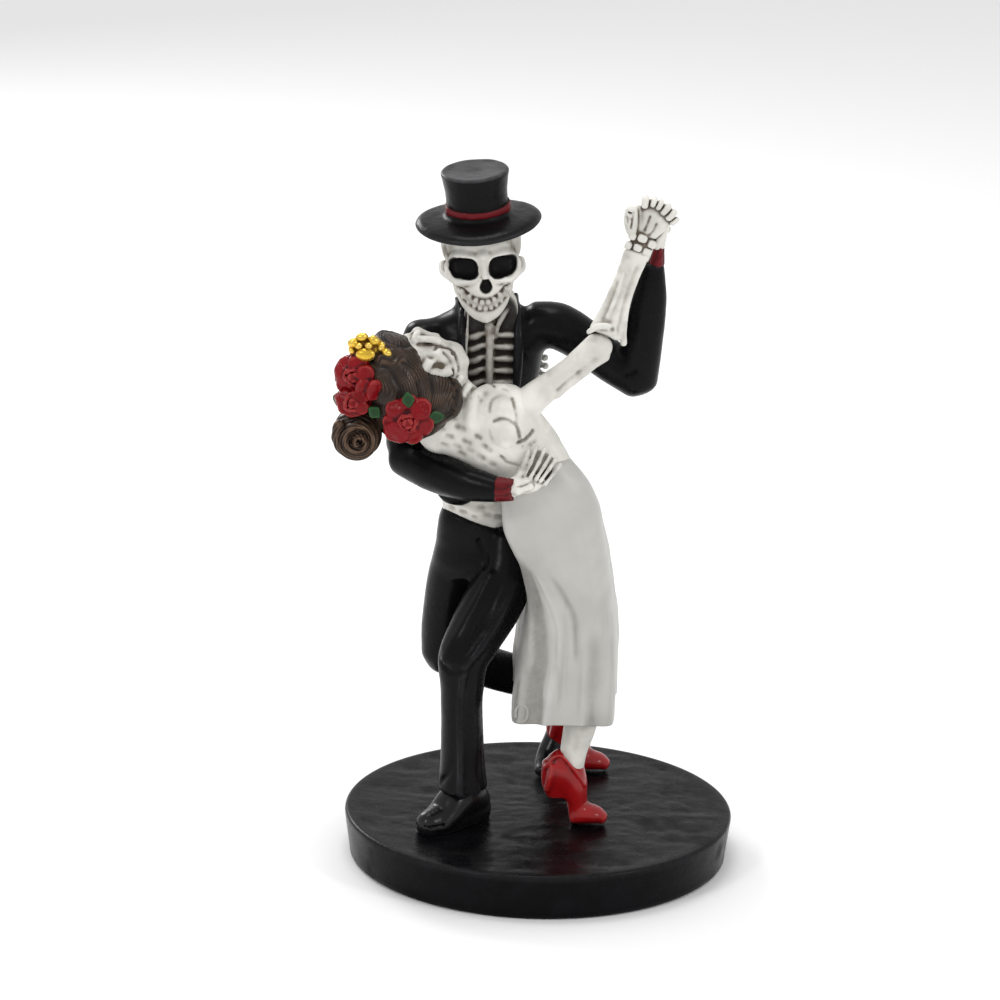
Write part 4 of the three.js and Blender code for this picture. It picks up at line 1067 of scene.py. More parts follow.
BRIDE_TORSO = [
    [-1.6, -14.2, 112.0, 10.0, 7.8], [-7.4, -15.4, 120.0, 11.2, 7.8], [-12.6, -16.0, 124.8, 12.2, 7.4],
    [-17.4, -15.8, 128.6, 12.8, 6.2], [-20.8, -15.2, 131.4, 9.0, 4.6], [-23.0, -14.6, 133.6, 3.8, 3.2],
]


def make_bride_torso():
    """The bent-back torso: pitted ribs, the shoulder joint's two knobs in their collar, and the neck."""
    clay = Clay((-36, -28, 108), (9, -3, 145), 0.42)
    clay.skin(BRIDE_TORSO, (0.72, 0, 0.69), square=2.3)
    neck = [(-19.0, -15.0, 133.4), (-23.0, -14.4, 137.0), (-26.5, -14.0, 140.4)]
    clay.tube(neck, [3.2, 2.7, 3.1], soft=1.6)
    for step in range(3):
        shift = np.array((-2.3, 0.2, 2.2)) * step
        clay.tube([(-19.0, -17.6, 136.6) + shift, (-20.6, -18.0, 134.4) + shift], 0.9, soft=0.9)
    clay.lump((-27.4, -14.6, 126.0), (8.0, 6.2, 7.6), soft=2.6)
    clay.lump((-10.8, -18.0, 130.6), (6.6, 4.8, 7.8), soft=3.0)
    clay.beaded([(-20.6, 128.6), (-20.4, 132.2), (-19.4, 135.6), (-16.8, 137.6), (-12.4, 138.4)], 1.5, 0.55,
                soft=1.2)
    clay.beaded([(-11.9, 133.8)], 2.7, 0.9, soft=0.5)
    clay.beaded([(-11.6, 127.2)], 3.9, 0.8, soft=0.5)
    ring = [(-15.9, 133.0), (-15.2, 136.0), (-12.2, 137.5), (-9.8, 136.4), (-8.7, 133.4), (-8.4, 130.4)]
    clay.engraved(ring[:4], 0.5, 0.28, soft=0.6)
    clay.engraved(ring[3:], 0.5, 0.5)
    clay.engraved([(-14.4, 130.5), (-12.6, 131.4), (-10.6, 131.1), (-8.4, 129.4), (-7.5, 126.2)], 0.5, 0.65)
    clay.engraved([(-15.8, 128.4), (-14.9, 125.4), (-11.6, 123.2), (-8.4, 124.2)], 0.4, 0.22)
    clay.engraved([(-7.9, 124.9), (-5.8, 125.9), (-4.1, 127.9)], 0.5, 0.75)
    for x, z in ((-7.0, 123.4), (-5.8, 123.2), (-4.6, 123.6)):
        clay.engraved([(x, z), (x + 1.6, z + 1.9)], 0.28, 0.2)
    nicks = [((-22.1, 137.0), (-21.0, 135.6)), ((-19.0, 136.7), (-18.1, 135.2)),
             ((-16.3, 139.3), (-14.4, 138.9)), ((-12.6, 138.9), (-11.2, 138.5)),
             ((-11.0, 119.4), (-6.6, 118.2)), ((-12.2, 121.0), (-11.4, 120.0))]
    for nick in nicks:
        clay.engraved(nick, 0.34, 0.4)
    pits = [
        # x, z, half width, half height
        (-23.5, 128.2, 1.1, 0.8), (-26.4, 125.6, 0.7, 0.6), (-21.8, 124.2, 1.0, 0.7),
        (-27.6, 122.8, 0.7, 0.6), (-18.0, 120.2, 1.0, 0.6), (-14.7, 118.4, 0.6, 0.45),
        (-20.9, 122.0, 0.7, 0.5), (-24.4, 122.6, 0.8, 0.6), (-18.6, 126.0, 0.7, 0.4),
        (-15.8, 122.6, 0.6, 0.4), (-23.0, 120.6, 0.7, 0.5), (-25.4, 130.6, 0.7, 0.5),
        (-28.4, 127.6, 0.5, 0.5), (-17.0, 123.6, 0.4, 0.35),
    ]
    for x, z, wide, tall in pits:
        ends = [(x - wide * 0.7, z + 0.2 * wide), (x + wide * 0.7, z - 0.35 * wide)]
        clay.engraved(ends, tall * 1.2, 0.4, soft=1.0)
    form = clay.form(fine=0.5, broad=1.6).blended("wash", 1, 0.8)
    return shown(form.roughened(0.12, 3.4, 101), "bride_torso")


def make_bride_arm():
    """Her raised right arm: grooved upper bone, a ball in the elbow's cup, and the two lower bones."""
    clay = Clay((-13, -24, 126), (27, -4, 178), 0.36)
    upper = [[-9.4, -17.4, 129.0, 5.4, 5.0], [-5.4, -17.0, 134.4, 4.4, 4.4], [0.8, -16.2, 139.6, 3.6, 3.6],
             [6.0, -15.4, 143.6, 3.5, 3.4], [10.0, -14.9, 147.0, 3.9, 3.7], [13.0, -14.6, 149.4, 4.2, 3.9]]
    clay.skin(upper, UPRIGHT, dome=0.5)
    clay.engraved([(2.4, 138.6), (5.2, 141.2), (7.8, 143.2)], 0.45, 0.45, soft=0.5)
    clay.engraved([(7.8, 143.2), (10.2, 145.2), (12.6, 147.2)], 0.5, 0.22, soft=1.0)
    clay.beaded([(2.4, 136.8), (6.4, 140.2), (10.4, 143.8), (14.0, 147.4)], 0.8, 0.3, soft=1.0)
    for x, z in ((8.5, 148.5), (7.1, 147.4)):
        clay.engraved([(x, z)], 0.3, 0.25)
    clay.lump((16.0, -14.0, 151.4), (5.6, 4.8, 3.9), soft=0.3, cut=True,
              axes=[(0.93, 0, 0.36), (0, 1, 0), (-0.36, 0, 0.93)])
    clay.lump((12.9, -15.2, 149.8), (3.8, 3.7, 3.4), soft=0.8)
    fore = [[14.8, -13.6, 153.4, 4.6, 3.7], [16.0, -12.9, 156.6, 4.1, 3.4], [17.6, -12.0, 161.4, 3.4, 3.0],
            [19.4, -11.2, 166.4, 3.1, 2.8], [21.0, -10.4, 171.0, 3.1, 2.7], [22.2, -9.9, 174.2, 3.4, 2.8]]
    lower = Clay((4, -22, 146), (27, -4, 178), 0.36)
    lower.skin(fore, ACROSS, dome=0.35, dome_end=0.4)
    thin_bone = [(19.6, -13.2, 150.6), (19.4, -13.4, 156), (20.6, -12.8, 163), (23.2, -11.6, 170),
                 (24.8, -10.8, 174.4)]
    lower.tube(thin_bone, [0.9, 1.1, 0.85, 0.85, 1.1], soft=0.5)
    cup_rim = [(10.2, -16.4, 154.2), (12.6, -17.4, 156.0), (15.6, -17.2, 155.8), (17.8, -16.0, 153.0)]
    lower.tube(cup_rim, [0.7, 0.9, 0.9, 0.8], soft=0.8)
    lower.engraved([(18.0, 153.6), (18.6, 157.0), (19.8, 163.0), (22.6, 171.0)], 0.45, 0.3, soft=0.9)
    lower.engraved([(13.6, 158.0), (15.0, 162.0), (17.0, 167.0)], 0.5, 0.2, soft=1.0)
    lower.lump((12.6, -15.4, 149.6), (5.0, 5.2, 4.6), soft=0.2, cut=True)
    lower.lump((16.6, -17.4, 155.2), (0.8, 0.9, 0.7), soft=0.3, cut=True)
    lower.tube([(15.0, -16.4, 158.4), (17.2, -15.4, 164), (19.0, -14.2, 170)], [0.3, 0.5, 0.3], soft=1.2)
    form = clay.form(fine=0.6, broad=1.8).joined(lower.form(fine=0.6, broad=1.8)).blended("wash", 4, 0.8)
    form.roughened(0.07, 3.0, 111)
    form.washed(0.06 + 0.2 * ease(0.1, 0.9, layers(form.points, 4.0, 112)))
    return shown(form, "bride_arm")


def make_clasped_hands():
    """The raised hands: wrist bones in two rows, the back of her hand, her thumb and the curled knuckles."""
    clay = Clay((15, -16, 170), (36, 0, 193), 0.22)
    clay.skin([[22.6, -9.8, 173.4, 3.2, 2.3], [24.2, -9.4, 178.4, 3.5, 2.3]], ACROSS, dome=0.3)
    blocks = [
        # x, y, z, half width, half height of each wrist bone
        (20.1, -11.2, 176.9, 1.0, 1.1), (22.6, -11.8, 176.5, 1.15, 1.0), (25.1, -11.2, 175.3, 1.25, 1.05),
        (21.1, -11.4, 179.5, 1.05, 1.0), (23.8, -11.9, 179.0, 1.3, 1.05), (26.4, -11.2, 177.3, 1.2, 1.05),
    ]
    askew = [(1, 0, -0.4), (0, 1, 0), (0.4, 0, 1)]
    for x, y, z, wide, tall in blocks:
        clay.lump((x, y, z), (wide, 1.2, tall), soft=0.15, power=3.0, axes=askew)
    palm = [[25.0, -9.4, 180.4, 3.2, 2.2], [26.8, -9.2, 184.0, 4.6, 2.7], [28.0, -9.2, 187.0, 4.6, 2.2]]
    clay.skin(palm, (1, 0, -0.3), soft=0.5, square=2.5)
    clay.tube([(27.8, -7.0, 176.0), (28.3, -6.8, 179.6), (28.8, -6.8, 183.0), (29.2, -7.2, 185.0)],
              [1.1, 2.0, 2.3, 1.6], soft=0.5)
    for path, depth in (([(23.1, 188.0), (22.9, 184.6), (22.4, 181.6)], 0.8),
                        ([(25.6, 185.0), (24.9, 182.8), (24.3, 181.2)], 0.3),
                        ([(27.4, 183.0), (26.6, 181.0), (25.6, 179.8)], 0.35)):
        clay.engraved(path, 0.5, depth, soft=0.3)
    knuckles = [
        # x, z, half width, half length, lean in degrees
        (24.2, 188.9, 1.0, 1.8, 6), (26.5, 188.9, 0.8, 1.4, 20), (28.1, 188.2, 0.75, 1.5, 28),
        (29.8, 187.0, 0.9, 1.8, 38), (31.3, 185.5, 0.95, 1.8, 44), (32.2, 183.8, 0.7, 1.4, 48),
    ]
    for x, z, wide, long, lean in knuckles:
        lean = math.radians(lean)
        clay.lump((x, -11.4, z), (wide, 1.7, long), soft=0.1, power=3.0,
                  axes=[(math.cos(lean), 0, -math.sin(lean)), (0, 1, 0), (math.sin(lean), 0, math.cos(lean))])
    clay.lump((22.4, -10.4, 183.4), (1.6, 1.3, 4.4), soft=0.6)
    thumb = [[20.9, -10.8, 180.6, 1.4, 1.5], [20.6, -11.4, 183.6, 1.9, 1.5], [20.7, -11.6, 186.8, 1.6, 1.2]]
    clay.skin(thumb, ACROSS, soft=0.2, square=2.6)
    for path in ([(21.2, 188.8), (20.4, 185.8), (19.9, 184.4)], [(19.4, 187.8), (20.0, 186.0), (20.6, 184.2)],
                 [(21.2, 186.4), (20.9, 184.0), (20.6, 181.8)], [(19.4, 185.0), (19.7, 183.4)]):
        clay.engraved(path, 0.3, 0.34)
    form = clay.form(fine=0.45, broad=1.3, relax=1).blended("wash", 1, 0.85)
    form.roughened(0.05, 1.6, 121)
    return shown(form.washed(0.10, share=1.1), "clasped_hands")


def make_bride_back_arm():
    """Her other arm, bent round his back: a guess, as only its fingertips are seen from the front."""
    clay = Clay((-36, -15, 122), (5, 20, 144), 0.42)
    clay.skin([[-21.0, -10.0, 132.6, 3.6, 3.6], [-27.4, -6.0, 129.6, 3.0, 3.0], [-31.4, 4.0, 127.4, 2.8, 2.8],
               [-30.0, 12.4, 127.0, 3.0, 3.0], [-23.0, 16.0, 129.0, 2.7, 2.5], [-12.0, 16.4, 133.4, 2.4, 2.3],
               [-5.4, 14.4, 136.4, 3.6, 2.4]], UPRIGHT)
    chains = [[(-7.4, 14.8, 138.4), (-2.8, 12.4, 139.7), (-1.3, 8.8, 140.3)],
              [(-7.0, 14.8, 136.9), (-2.6, 12.4, 137.5), (-1.1, 8.6, 138.0)],
              [(-7.0, 14.6, 135.2), (-2.9, 12.2, 135.3), (-1.4, 8.6, 135.4)]]
    fingers(clay, chains, 0.95)
    return shown(clay.form().roughened(0.06, 2.6, 131), "bride_back_arm")


BRIDE_HEAD = (-35.3, -14.2, 144.7)
BRIDE_CROWN = (-0.92, 0.0, 0.39)
BRIDE_FACE = (0.36, 0.22, 0.90)
BRIDE_CREASES = [
    # path of (x, z) on the side that faces the front, radius, depth
    ([(-31.0, 148.9), (-29.4, 149.6), (-27.8, 149.4)], 0.6, 0.6),
    ([(-35.4, 150.0), (-33.0, 150.3), (-30.6, 150.1)], 0.35, 0.35),
    ([(-27.2, 149.2), (-25.6, 147.6), (-24.5, 145.0), (-24.3, 142.6)], 0.35, 0.4),
    ([(-28.4, 148.0), (-26.8, 146.2), (-25.9, 143.8), (-26.2, 141.6)], 0.4, 0.4),
    ([(-32.4, 147.0), (-30.4, 146.2), (-29.0, 144.4)], 0.9, 0.3),
    ([(-24.6, 141.4), (-24.4, 139.6)], 0.4, 0.4),
]


def make_bride_skull():
    """A smaller skull, thrown back to face upwards, its hair hiding the crown.

    Its own axes are X across, with the side seen in front at the low end, Y up and Z out of the face.
    """
    up = unit(np.array(BRIDE_CROWN))
    out = unit(np.array(BRIDE_FACE) - up * np.dot(BRIDE_FACE, up))
    axes = np.array([np.cross(up, out), up, out])

    def local(places):
        return (np.asarray(places, float) - BRIDE_HEAD) @ axes.T

    clay = Clay((-10, -16, -12), (10, 12, 11), 0.28)
    clay.lump((0, 1.8, -1.8), (8.2, 7.2, 8.2))
    clay.lump((0, -3.0, 2.4), (6.6, 6.2, 5.6), soft=2.0)
    clay.lump((0, -8.0, 3.2), (4.8, 4.6, 4.6), soft=2.0)
    clay.tube([(0, 3.0, 6.6), (0, 0.2, 7.0), (0, -2.0, 7.6)], [1.6, 1.1, 0.9], soft=1.0)
    for side in (-1, 1):
        clay.tube([(5.6 * side, 3.0, 4.4), (3.4 * side, 3.2, 6.0), (1.2 * side, 2.6, 6.6)], 1.0, soft=0.8)
        clay.tube([(6.2 * side, -3.4, 4.2), (7.4 * side, -2.6, 1.0), (7.8 * side, -1.8, -2.4)], 1.1, soft=1.0)
        jaw = [(6.4 * side, -4.4, -1.6), (5.6 * side, -7.6, 0.0), (2.4 * side, -11.2, 4.6)]
        clay.tube(jaw, 1.4, soft=1.2)
        clay.lump((3.4 * side, 0.3, 8.2), (2.3, 2.3, 2.9), soft=0.4, cut=True, power=2.6)
    clay.tube([(0, -3.2, 8.6), (0, -4.6, 8.2)], [0.6, 1.1], soft=0.3, cut=True)
    smile = [(x, -8.6 + 0.08 * x * x, 7.6 - 0.16 * x * x) for x in np.linspace(-3.8, 3.8, 13)]
    clay.tube(smile, 0.9, soft=0.4, cut=True, smooth=False)
    for row in (-0.55, 0.55):
        for x, y, z in smile[1:-1]:
            clay.lump((x, y + row, z - 0.3), (0.36, 0.5, 0.7), soft=0.1, power=3.0)
    chin = local([(-26.4, -14.0, 147.0), (-25.4, -14.4, 143.6), (-25.0, -14.8, 140.0)])
    clay.tube(chin, [2.6, 3.0, 3.2], soft=1.4)
    brow = local([(-35.0, -18.4, 151.4), (-32.4, -18.8, 151.5), (-30.0, -18.4, 151.1)])
    clay.tube(brow, 1.05, soft=0.25)
    for path, radius, depth in BRIDE_CREASES:
        clay.engraved(local([(x, -18.0, z) for x, z in path])[:, 1:], radius, depth, soft=0.4, axis=0)
    form = clay.form(fine=0.5, broad=1.5, relax=1).blended("wash", 2, 0.75)
    x, y, z = form.points.T
    sockets = ease(1.05, 0.85, np.hypot((np.abs(x) - 3.4) / 2.2, (y - 0.3) / 2.2)) * (z > 2)
    nose = ease(1.2, 0.8, np.hypot(x, (y + 4.0) / 1.5)) * (z > 5)
    form.qualities["deep"] = sockets + nose
    form.roughened(0.07, 2.2, 63)
    form.washed(0.13 + 0.25 * ease(0.0, 0.9, layers(form.points, 3.0, 64)), share=1.2)
    return shown(form.placed(axes, BRIDE_HEAD), "bride_skull")


# The bride's dress, legs and shoes

DRESS = [
    [-3.2, -15.0, 118.0, 9.8, 7.8], [-0.6, -14.4, 112.0, 11.8, 9.0], [1.2, -12.6, 105.0, 13.2, 10.8],
    [2.6, -10.4, 97.0, 13.6, 12.6], [5.6, -6.8, 87.0, 12.5, 15.6], [7.3, -2.4, 77.0, 12.0, 19.2],
    [7.1, 1.6, 66.0, 13.3, 23.0], [6.6, 5.0, 55.0, 13.8, 26.6], [6.2, 8.0, 44.6, 14.1, 29.4],
]
FOLDS = [
    # path of (x, z) on the front, half width, height (below 0 for a valley)
    ([(-6.2, 92.0), (-2.6, 78.0), (-1.0, 66.0), (-1.8, 54.0), (-3.0, 44.0)], 2.6, -1.0),
    ([(-4.4, 92.0), (0.4, 82.0), (3.4, 74.0), (4.4, 66.0), (2.8, 56.0), (1.4, 44.0)], 1.6, 0.75),
    ([(-4.6, 90.4), (-0.4, 83.0), (2.6, 76.2), (3.8, 70.0), (3.6, 60.0)], 0.6, -0.55),
    ([(-7.4, 88.0), (-4.6, 80.0), (-3.4, 72.0), (-3.2, 62.0)], 0.9, 0.65),
    ([(0.0, 90.0), (5.2, 82.0), (8.6, 74.6), (9.4, 64.0)], 1.0, -0.5),
    ([(9.6, 74.0), (10.8, 66.0), (10.8, 56.0), (11.0, 46.0)], 0.8, 0.35),
    ([(13.6, 74.0), (14.2, 62.0), (14.0, 50.0)], 2.2, -0.4),
    ([(3.6, 112.0), (9.6, 104.0), (12.6, 94.0), (14.0, 84.0)], 2.0, 0.35),
    ([(-5.6, 60.0), (-5.4, 52.0), (-5.6, 44.0)], 0.7, 0.35),
]


FOLD_END = 50.0


def fold_height(points):
    """The folds on the front of the dress: each one is height * exp(-(distance to its path / width)^2).

    A fold fades out under its last point where that lies above FOLD_END, and else runs on to the hem.
    """
    x, y, z = points.T
    total = np.zeros(len(points))
    for path, width, height in FOLDS:
        line = row_at(path, np.linspace(0, len(path) - 1, 60))
        top, foot = line[0, 1], line[-1, 1]
        middle = np.interp(z, line[::-1, 1], line[::-1, 0])
        fade = ease(top + 1.0, top - 7.0, z)
        if foot > FOLD_END:
            fade = fade * ease(foot - 4.0, foot + 2.0, z)
        total += height * np.exp(-((x - middle) / width) ** 2) * fade
    return total


def make_dress():
    """A squared oval, w*c*r and d*s*r with r = (|c|^p + |s|^p)^(-1/p), carried down from the waist.

    The front has the folds above; the sides and the back hang in waves that deepen to the hem.
    """
    rings, sides = 160, 240
    share = np.linspace(0, 1, rings)
    row = row_at(DRESS, share * (len(DRESS) - 1))
    angle = 2 * np.pi * np.arange(sides) / sides
    c, s = np.cos(angle), np.sin(angle)
    power = 2.4 + 1.6 * ease(0.0, 0.35, share)[:, None] + 11.0 * ease(0.6, 1.0, share)[:, None]
    radius = (np.abs(c) ** power + np.abs(s) ** power) ** (-1 / power)
    outer = row[:, None, :3] + 0 * radius[..., None]
    outer[..., 0] += row[:, 3:4] * c * radius
    outer[..., 1] += row[:, 4:5] * s * radius
    outward = unit(np.stack([c / row[:, 3:4], s / row[:, 4:5], 0 * radius], -1))
    flat = outer.reshape(-1, 3)
    front = ease(0.1, -0.5, np.broadcast_to(s, radius.shape)).reshape(-1)
    waves = np.cos(9 * angle + 0.8 * np.sin(3 * angle))[None, :] * ease(0.15, 1.0, share)[:, None]
    height = front * fold_height(flat) + (1 - front) * 0.9 * waves.reshape(-1)
    height += 0.18 * layers(flat, 9.0, 141, 2)
    outer = (flat + outward.reshape(-1, 3) * height[:, None]).reshape(outer.shape)
    hem = row[-1, :3]
    lip = ((0.985, -0.35), (0.95, -0.5), (0.92, -0.3), (0.905, 0.6), (0.89, 2.4), (0.6, 2.7))
    inner = [hem + (outer[-1] - hem) * [k, k * 0.985, 1] + [0, 0, rise] for k, rise in lip]
    neck = [row[0, :3] + (outer[0] - row[0, :3]) * [k, k, 1] + [0, 0, rise]
            for k, rise in ((0.3, 2.2), (0.7, 1.6), (0.93, 0.8))]
    shape = np.concatenate([neck, outer, inner])
    form = closed_grid(shape, row[0, :3] + [0, 0, 2.3], hem + [0, 0, 2.7])
    slope = np.concatenate([np.zeros(3 * sides + 1), height, np.zeros(6 * sides + 1)])
    x, y, z = form.points.T
    # Painted shade in the fold valleys and in vertical streaks that are stronger on the left; a painted
    # highlight on the fold ridges.
    streaks = ease(0.0, 0.7, layers(form.points * [1.5, 1, 0.14], 2.6, 144, 3)) * ease(90, 66, z)
    shade = ease(0.0, -0.7, slope) * 0.8 + (0.2 + 0.5 * ease(8.0, 1.0, x)) * streaks
    form.qualities.update(wash=np.clip(shade, 0, 1), edge=ease(0.25, 0.8, slope))
    # Painted shade over the left of the skirt below the waist.
    side = ease(3.0, -7.0, x - 0.06 * (z - 60)) * ease(100, 80, z)
    form.washed(0.6 * side)
    loop = [(-5.2 + 1.7 * math.cos(turn), -21.1, 47.6 + 2.5 * math.sin(turn))
            for turn in np.linspace(-1.4, 3.6, 9)]
    curl = skin([[*p, 0.32, 0.4] for p in loop], AWAY, rings=40, sides=16)
    curl.qualities.update(wash=np.full(len(curl.points), 0.6), edge=np.zeros(len(curl.points)))
    return shown(form.joined(curl), "bride_dress", "dress_white")


NEAR_SHIN = [
    [12.2, -12.0, 50.0, 4.7, 4.4], [11.0, -12.0, 41.6, 4.5, 4.2], [9.4, -12.0, 34.0, 3.7, 3.6],
    [8.8, -12.0, 27.0, 3.3, 3.3],
]
SHOE_UPPER = [
    [5.6, -12.0, 32.4, 3.0, 3.2], [7.2, -12.0, 28.6, 5.2, 4.1], [9.4, -12.0, 24.4, 4.2, 4.1],
    [10.7, -12.0, 19.6, 2.9, 3.8], [11.0, -12.0, 15.2, 3.1, 3.6],
]
SHOE_HEEL = [[5.0, -12.0, 30.0, 4.2, 3.7], [4.6, -12.0, 25.4, 3.9, 3.5], [5.0, -12.0, 21.2, 3.0, 2.8]]
SHOE_TOE = [
    [9.8, -12.0, 15.0, 2.0, 3.6], [13.0, -12.2, 15.9, 2.7, 4.0], [16.0, -12.4, 15.6, 2.4, 3.6],
    [18.0, -12.6, 14.8, 1.7, 2.4],
]
FAR_FOOT = (1.0, 43.5, 0.0)
FAR_LEAN = 8.0


def make_shins():
    """Both shins, waisted above the ankle, with two shallow hollows; the far one leans to the front."""
    parts = []
    for far in (0, 1):
        rows = np.array(NEAR_SHIN)
        rows[:, 1] -= far * FAR_LEAN * np.linspace(1, 0, len(rows))
        clay = Clay(rows[:, :3].min(0) - 6, rows[:, :3].max(0) + 6, 0.42)
        clay.skin(rows, ACROSS, dome=0.2)
        clay.engraved([(9.6, 35.8), (9.8, 39.0)], 0.9, 0.35, soft=1.2)
        clay.engraved([(12.4, 43.0), (12.8, 44.4)], 1.1, 0.4, soft=1.2)
        form = clay.form(relax=1).blended("wash", 4, 0.5)
        # Painted shade: darker towards the top of each shin, just under the dress's hem.
        form.washed(0.5 * ease(40.5, 44.5, form.points[:, 2]))
        form.points += np.array(FAR_FOOT) * far
        parts.append(form)
    return shown(parts[0].joined(parts[1]), "bride_shins")


def make_red_shoes(floor):
    """Two like heeled slippers: each arches down from its heel, which is off the floor, to a flat toe."""
    clay = Clay((-3, -18.5, floor - 1), (23, -6, 37), 0.32)
    clay.skin(SHOE_UPPER, ACROSS, dome=0.6, dome_end=0.2)
    clay.skin(SHOE_HEEL, ACROSS, soft=2.2, dome=0.4, dome_end=0.25)
    clay.skin(SHOE_TOE, UPRIGHT, soft=1.6)
    clay.lump((4.6, -12.0, 14.4), (4.4, 6.0, 4.4), soft=1.0, cut=True)
    arch_groove = [(7.6, -16.9, 14.4), (7.8, -16.9, 19.0), (8.4, -16.6, 22.6)]
    clay.tube(arch_groove, [0.9, 0.8, 0.3], soft=0.8, cut=True)
    throat = [(1.6, -14.6, 30.0), (5.4, -16.0, 34.0), (9.2, -16.0, 30.4), (12.6, -14.4, 25.0)]
    clay.tube(throat, 0.4, soft=0.7)
    clay.tube([(3.4, -15.8, 30.6), (3.0, -15.8, 27.0), (2.2, -15.0, 23.6)], [0.4, 0.7, 0.5], soft=1.2)
    clay.cut_below(floor)
    near = clay.form(fine=0.5, broad=1.6, relax=1)
    x, y, z = near.points.T
    sole = ease(floor + 0.85, floor + 0.55, z)
    heel = ease(3.6, 2.8, x + 0.9 * (z - 20.6)) * (z < 24.5)
    near.qualities["deep"] = np.maximum(sole, heel)
    far = Form(near.points + FAR_FOOT, near.quads, near.tris, **near.qualities)
    return shown(near.joined(far), "bride_shoes", "shoe_red")


# The bride's hair and its flowers

HAIR = [
    [-48.4, -19.8, 142.0, 8.2, 7.8], [-45.2, -19.0, 140.4, 12.8, 11.4], [-41.4, -18.4, 138.2, 14.4, 13.6],
    [-38.7, -18.2, 137.8, 14.1, 13.4], [-36.6, -18.2, 137.1, 13.0, 12.8], [-34.9, -18.2, 136.0, 11.6, 12.0],
    [-33.4, -18.2, 134.9, 10.2, 11.2], [-29.5, -18.4, 134.8, 8.0, 9.2], [-25.8, -18.4, 135.7, 5.3, 6.0],
]
BUN = dict(place=(-50.8, -23.0, 126.4), radius=6.7, depth=5.4, coils=2.25, thick=1.5)


def strands(phase, count):
    """Ridges with narrow valleys, from -1 to 1: the phase's |sin| to the power of 1/1.2."""
    return 2 * np.abs(np.sin(np.pi * count * phase)) ** (1 / 1.2) - 1


def make_hair():
    """Swept hair: locks and strands lie along tilted ovals about a centre beside the crown."""
    form = skin(HAIR, UPRIGHT, rings=220, sides=170, dome=0.7, dome_end=0.5, level=ACROSS)
    x, y, z = form.points.T
    crown_x, crown_z = x + 52.0, z - 143.0
    along = crown_x * 0.968 - crown_z * 0.25
    beside = crown_x * 0.25 + crown_z * 0.968
    lay = np.sqrt((along / 30.5) ** 2 + (beside / 17.0) ** 2)
    swirl = 0.06 * noise(form.points, 9.0, 151) + 0.02 * noise(form.points, 3.6, 155)
    lay = lay + swirl + 0.004 * (y + 19)
    lock = (5.6 * lay + 0.4 * noise(form.points * (1, 1, 0.6), 6.0, 156)) % 1.0
    step = ease(0.0, 0.7, lock) * ease(1.0, 0.84, lock) * 2 - 1
    fine = strands(lay + 0.006 * noise(form.points, 2.6, 152), 40.0)
    breaks = 0.55 + 0.45 * noise(form.points, 2.4, 157)
    form.raised(0.26 * step + 0.17 * fine * breaks + 0.10 * layers(form.points, 1.6, 153))
    # Lighter strand ridges: partly dry-brushed wear, partly painted glints.
    glints = ease(0.1, 0.9, breaks) * (0.4 + 0.6 * noise(form.points, 2.8, 154))
    wash = 0.8 * ease(-0.2, -0.95, step) + 0.7 * ease(0.0, -0.9, fine) * breaks
    form.qualities.update(wash=np.clip(wash, 0, 1), edge=np.clip(ease(0.3, 1.0, fine) * glints, 0, 1))
    return shown(form, "bride_hair", "hair_brown")


def make_bun():
    """A rolled knot: a roll that coils inward and rises towards its eye, on a rounded base."""
    x0, y0, z0 = BUN["place"]
    clay = Clay((x0 - 9, y0 - 8, z0 - 9), (x0 + 9, y0 + 8, z0 + 9), 0.3)
    clay.lump((x0, y0 + 0.8, z0), (BUN["radius"] - 0.2, BUN["depth"], BUN["radius"] - 0.2), power=2.3)
    turn = np.linspace(0, 2 * np.pi * BUN["coils"], 90)
    share = turn / turn[-1]
    reach = (BUN["radius"] - BUN["thick"]) * (1 - share) ** 0.85 + 0.3
    middle_x, middle_z = x0 + 0.4 * share, z0 - 1.6 * share
    front = y0 - 3.4 - 1.6 * np.sin(np.pi * share * 0.55)
    spin = turn + 2.6
    coil = np.column_stack([middle_x + reach * np.cos(spin), front, middle_z + reach * np.sin(spin)])
    clay.tube(coil, 1.55 - 0.75 * share, soft=0.25, smooth=False)
    clay.tube(coil + [0, -1.3, 0], 0.5 - 0.2 * share, soft=0.3, smooth=False)
    form = clay.form(fine=0.5, broad=1.5, relax=1)
    x, y, z = form.points.T
    radius = np.hypot(x - x0, z - z0 + 0.8)
    swirl = radius / BUN["radius"] - np.arctan2(z - z0, x - x0) / (2 * np.pi) * 0.32
    fine = strands(swirl + 0.03 * noise(form.points, 3.0, 161), 9.0) * ease(y0 + 1.0, y0 - 2.0, y)
    form.raised(0.13 * fine).washed(0.5 * ease(0.0, -0.9, fine))
    form.qualities["edge"] = np.clip(form.qualities["edge"] * 0.5 + ease(0.5, 1.0, fine) * 0.6, 0, 1)
    return shown(form, "bride_bun", "hair_brown")


